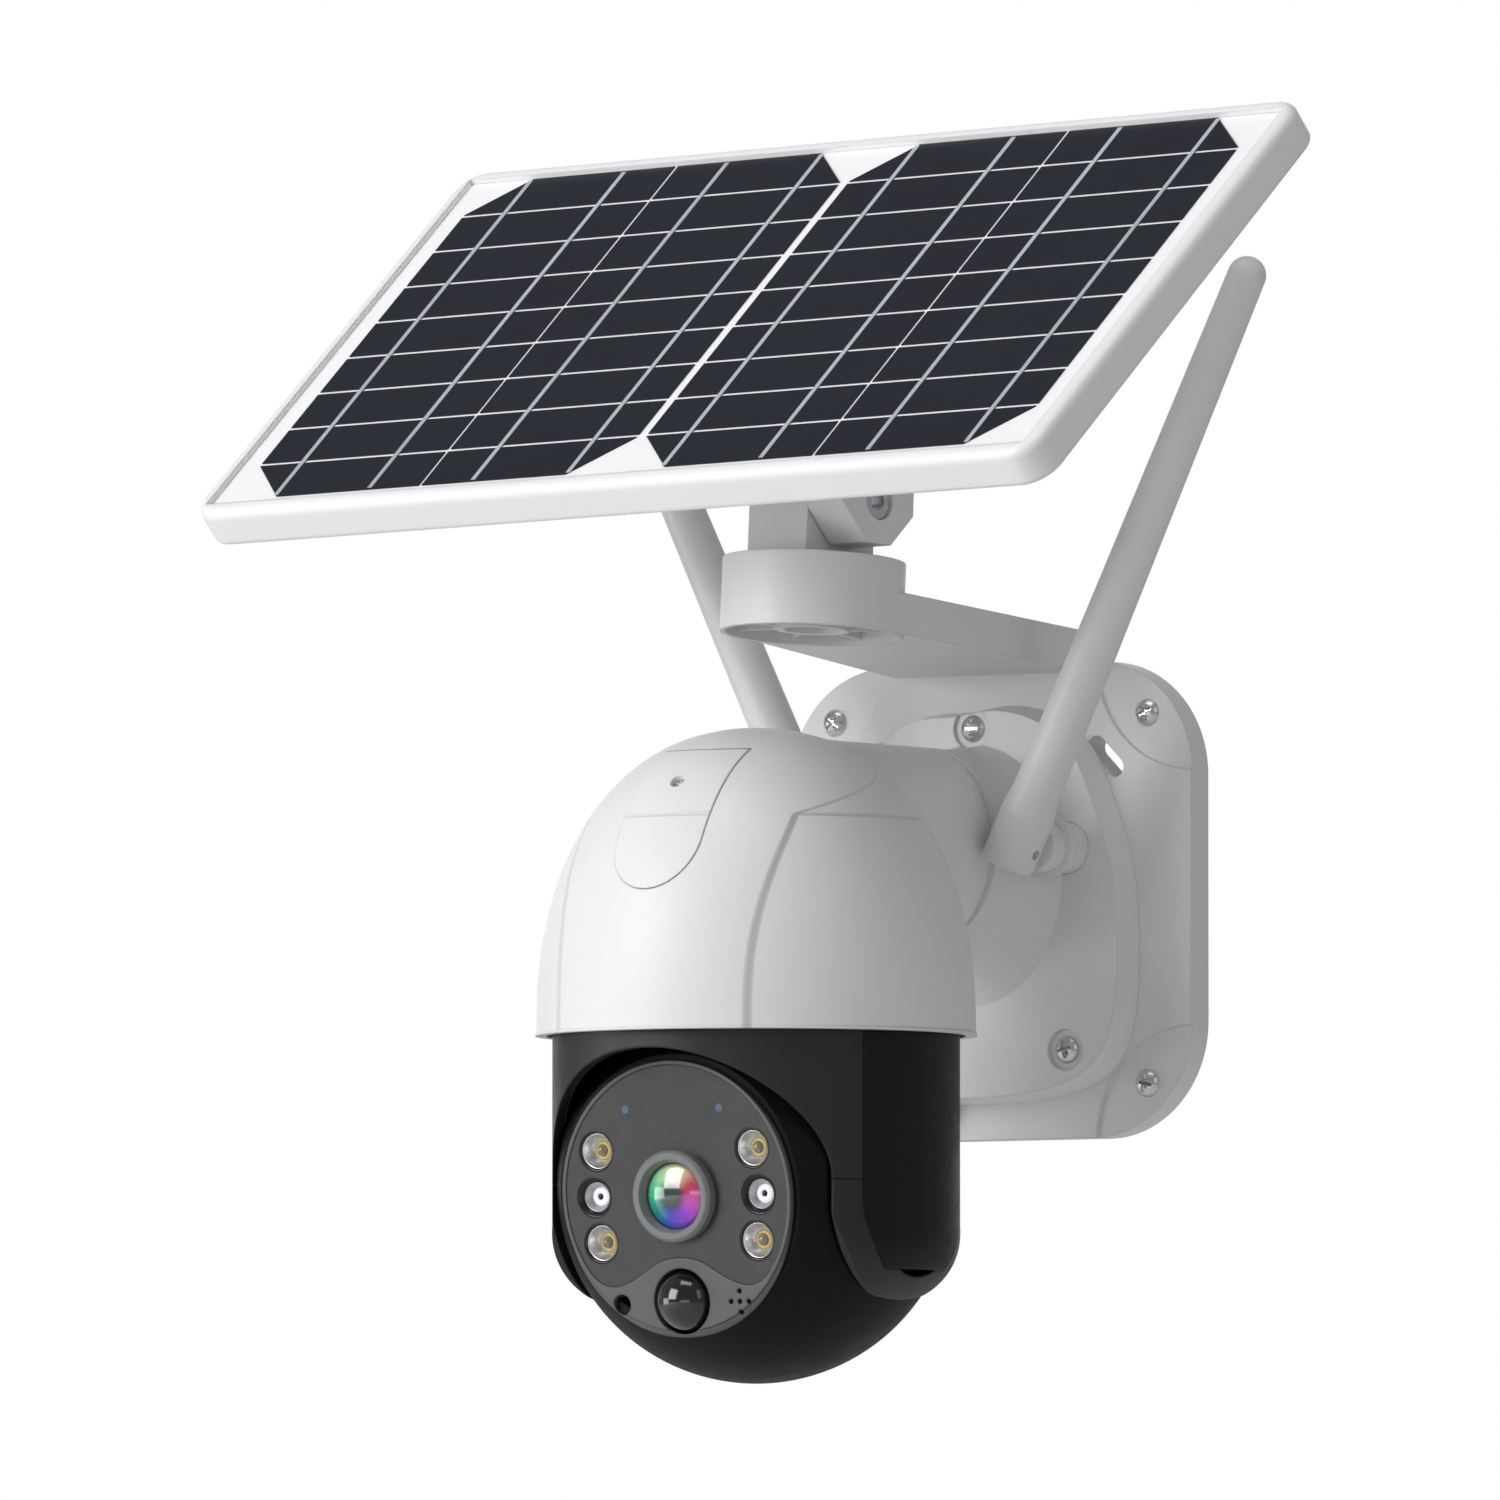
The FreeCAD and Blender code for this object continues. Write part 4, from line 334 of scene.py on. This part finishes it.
LOOKS = {
    "white_shell": SHELL, "white_frame": FRAME_WHITE, "backsheet": BACKSHEET, "silicon": silicon(),
    "ribbon": RIBBON, "clear": film("panel_film"), "lamp_clear": glass("lamp_clear", (0.97, 0.97, 0.95)),
    "black_shell": BLACK, "bezel": BEZEL, "face": FACE, "lens_ring": RING, "lens": lens_painted_reflection(),
    "reflector": MIRROR, "motion": MOTION, "steel": STEEL, "gear": GEAR, "motor": CAN,
    "board": board_material(), "battery": SLEEVE, "dark_fitting": FITTING,
    "status": glow("status_pipe", (0.10, 0.16, 0.24), 0.02),
}
SPECIAL = {"dome_shell": DOME, "dome_door": DOME, "ball_shell": BALL_SHADED_BLACK, "ear_cap_left": CAP_SHADED_BLACK,
           "ear_cap_right": CAP_SHADED_BLACK}


def dress():
    """Gives each CAD piece the look of its slot, or its own where it has one."""
    slots = {part["node"]: part["material_slot"] for part in frame["record"]["subparts"]}
    for name, item in frame["nodes"].items():
        material = SPECIAL.get(name, LOOKS[slots[name]])
        item.data.materials.clear()
        item.data.materials.append(material)


dress()


# ---------------------------------------------------------------- lamps of the face

SIDE = Vector((1, 0, 0))
UP = Vector((0, -math.sin(PITCH), math.cos(PITCH)))
OUT = Vector((0, -math.cos(PITCH), -math.sin(PITCH)))
CENTRE = Vector((0, AXIS_Y, BALL_Z))
FLOOD_U, FLOOD_V, INFRARED_U = 22.1, 11.0, 23.3
FLOOD = [(a * FLOOD_U, b * FLOOD_V) for b in (1, -1) for a in (-1, 1)]
INFRARED = [(a * INFRARED_U, 0.0) for a in (-1, 1)]
# millimetres: w is the distance out from the centre of the ball
LAMP_LOW, LAMP_FLOOR, LAMP_TOP = 30.2, 32.0, 34.9
RIM_R, WINDOW_R = 4.88, 4.15


def on_face(u, v, w):
    """A point of the face, in millimetres sideways, up and out from the ball's centre."""
    return CENTRE + (SIDE * u + UP * v + OUT * w) * MM


def turned(name, profile, spots, material, body="camera_ball", steps=48):
    """Turned pieces at several spots of the face: profile is (radius, out) in millimetres."""
    mesh = bmesh.new()
    for u, v in spots:
        rows = []
        for r, w in profile:
            if r == 0:
                rows.append([mesh.verts.new(on_face(u, v, w))])
                continue
            angles = [2 * math.pi * k / steps for k in range(steps)]
            rows.append([mesh.verts.new(on_face(u + r * math.cos(t), v + r * math.sin(t), w))
                         for t in angles])
        for lower, upper in zip(rows, rows[1:]):
            if len(lower) == len(upper) == 1:
                continue
            for k in range(steps):
                corners = [lower[k % len(lower)], lower[(k + 1) % len(lower)],
                           upper[(k + 1) % len(upper)], upper[k % len(upper)]]
                mesh.faces.new([p for i, p in enumerate(corners) if p not in corners[:i]])
    bmesh.ops.remove_doubles(mesh, verts=mesh.verts, dist=1e-7)
    bmesh.ops.recalc_face_normals(mesh, faces=mesh.faces)
    data = bpy.data.meshes.new(name)
    mesh.to_mesh(data)
    mesh.free()
    data.polygons.foreach_set("use_smooth", [True] * len(data.polygons))
    data.materials.append(material)
    item = bpy.data.objects.new(name, data)
    bpy.context.scene.collection.objects.link(item)
    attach(item, body)
    return item


def round_over(r0, w0, r1, w1, bulge, count=6):
    """Points of an arched stretch between two points of a profile."""
    points = []
    for k in range(count + 1):
        t = k / count
        points.append((r0 + (r1 - r0) * t, w0 + (w1 - w0) * t + bulge * 4 * t * (1 - t)))
    return points


def ring_profile(r0, w0, r1, w1, bulge, count=6):
    """Closed profile of a ring with an arched top, from its outer wall to its inner one."""
    return [(r0, LAMP_LOW)] + round_over(r0, w0, r1, w1, bulge, count) + [(r1, LAMP_LOW), (r0, LAMP_LOW)]


def make_lamps():
    """Dark rims, polished bowls with their lamps, and clear domed fronts."""
    rim_dark = plastic("lamp_rim", (0.010, 0.010, 0.011), rough=0.25, edge=0)
    warm = glow("phosphor", (0.62, 0.48, 0.20), 0.12)
    cool = glow("infrared_die", (0.80, 0.80, 0.82), 0.5)
    olive = plastic("lamp_dome", (0.20, 0.18, 0.11), rough=0.10, coat=1.0, edge=0)
    window = film("lamp_window")
    low, top, floor = LAMP_LOW, LAMP_TOP, LAMP_FLOOR
    rim = ring_profile(RIM_R, top, 4.25, top - 0.25, 0.12)
    turned("flood_rims", rim, FLOOD, rim_dark)
    wide = ring_profile(RIM_R, top, 3.55, top - 0.9, 0.12)
    turned("infrared_rims", wide, INFRARED, rim_dark)
    bowl = ring_profile(4.2, top - 0.35, 2.25, floor, -0.45, 8)
    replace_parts(turned("flood_bowls", bowl, FLOOD, MIRROR), "flood_reflectors")
    small = ring_profile(3.5, top - 1.0, 2.3, floor, -0.35, 8)
    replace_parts(turned("infrared_bowls", small, INFRARED, CAN), "infrared_reflectors")
    ring = ring_profile(2.2, floor, 1.4, floor + 0.1, 0.2)
    turned("flood_phosphor", ring, FLOOD, warm)
    die = ring_profile(2.25, floor + 0.2, 0.8, floor + 0.4, 0.25)
    turned("infrared_dies", die, INFRARED, cool)
    dome = [(1.35, low), (1.35, floor + 0.1), (1.2, floor + 0.7), (0.85, floor + 1.1), (0.4, floor + 1.3),
            (0, floor + 1.35)]
    turned("flood_domes", dome, FLOOD, olive, steps=32)
    centre = [(0.75, low), (0.75, floor + 0.3), (0.5, floor + 0.6), (0, floor + 0.7)]
    turned("infrared_centres", centre, INFRARED, rim_dark, steps=24)
    brim = top - 0.3
    crown = [(WINDOW_R * math.cos(t), brim + 0.75 * math.sin(t)) for t in (0, 0.35, 0.7, 1.05, 1.35)]
    front = crown + [(0, top + 0.45)]
    back = [(0, top - 0.05), (2.2, top - 0.15), (WINDOW_R, brim)]
    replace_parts(turned("lamp_windows", front + back, FLOOD, window), "lamp_lenses")


make_lamps()


# ---------------------------------------------------------------- stage, light and camera

def area(name, at, target, size, power):
    """Soft rectangular light aimed at target."""
    light = bpy.data.lights.new(name, "AREA")
    light.shape, light.size, light.size_y = "RECTANGLE", size[0], size[1]
    light.energy = power
    item = bpy.data.objects.new(name, light)
    bpy.context.scene.collection.objects.link(item)
    item.location = at
    item.rotation_euler = (Vector(target) - Vector(at)).to_track_quat("-Z", "Y").to_euler()
    return item


def make_stage():
    """Pale floor, a world that is white behind the object and grey elsewhere, and soft lights."""
    bpy.ops.mesh.primitive_plane_add(size=14, location=(0, 0, -0.45))
    floor = bpy.context.object
    floor.name = "floor"
    g = Graph("floor_paper")
    base = g.colour(g.noise(3.0), (0.78, 0.78, 0.78), (0.82, 0.82, 0.82))
    shader = g.add("ShaderNodeBsdfPrincipled", {"Base Color": base, "Roughness": 0.8})
    floor.data.materials.append(g.surface(shader))
    g = Graph("studio", world=True)
    way = g.add("ShaderNodeTexCoord").outputs["Generated"]
    facing = g.add("ShaderNodeVectorMath", {0: way, 1: tuple(VIEW)}, operation="DOT_PRODUCT").outputs["Value"]
    lit = g.step(facing, 0.80, 0.97)
    colour = g.mix(lit, (0.26, 0.265, 0.275, 1), (1.0, 1.0, 1.0, 1))
    back = g.add("ShaderNodeBackground", {"Color": colour, "Strength": 1.0})
    g.add("ShaderNodeOutputWorld", {"Surface": back.outputs["Background"]})
    bpy.context.scene.world = g.owner
    middle = (0, -0.08, 0.03)
    for name, at, extent, power in (("key", (-1.55, -2.7, 1.0), (1.8, 1.8), 61),
                                    ("low_left", (-2.2, -1.4, -0.2), (1.2, 0.7), 9),
                                    ("top", (0.2, -0.9, 2.4), (1.6, 1.2), 17),
                                    ("front", (1.0, -3.0, -0.7), (1.8, 1.2), 12),
                                    ("right_rim", (2.4, -0.8, 0.9), (0.6, 1.4), 2.5)):
        area(name, at, middle, extent, power)


def make_camera():
    """Long lens from the photo's side."""
    data = bpy.data.cameras.new("camera")
    data.lens, data.sensor_width, data.sensor_fit = 500, 36, "HORIZONTAL"
    data.clip_start, data.clip_end = 0.1, 50
    item = bpy.data.objects.new("camera", data)
    bpy.context.scene.collection.objects.link(item)
    item.location = CAMERA
    item.rotation_euler = VIEW.to_track_quat("-Z", "Y").to_euler()
    bpy.context.scene.camera = item


make_stage()
make_camera()
bpy.context.scene.view_settings.view_transform = "Standard"
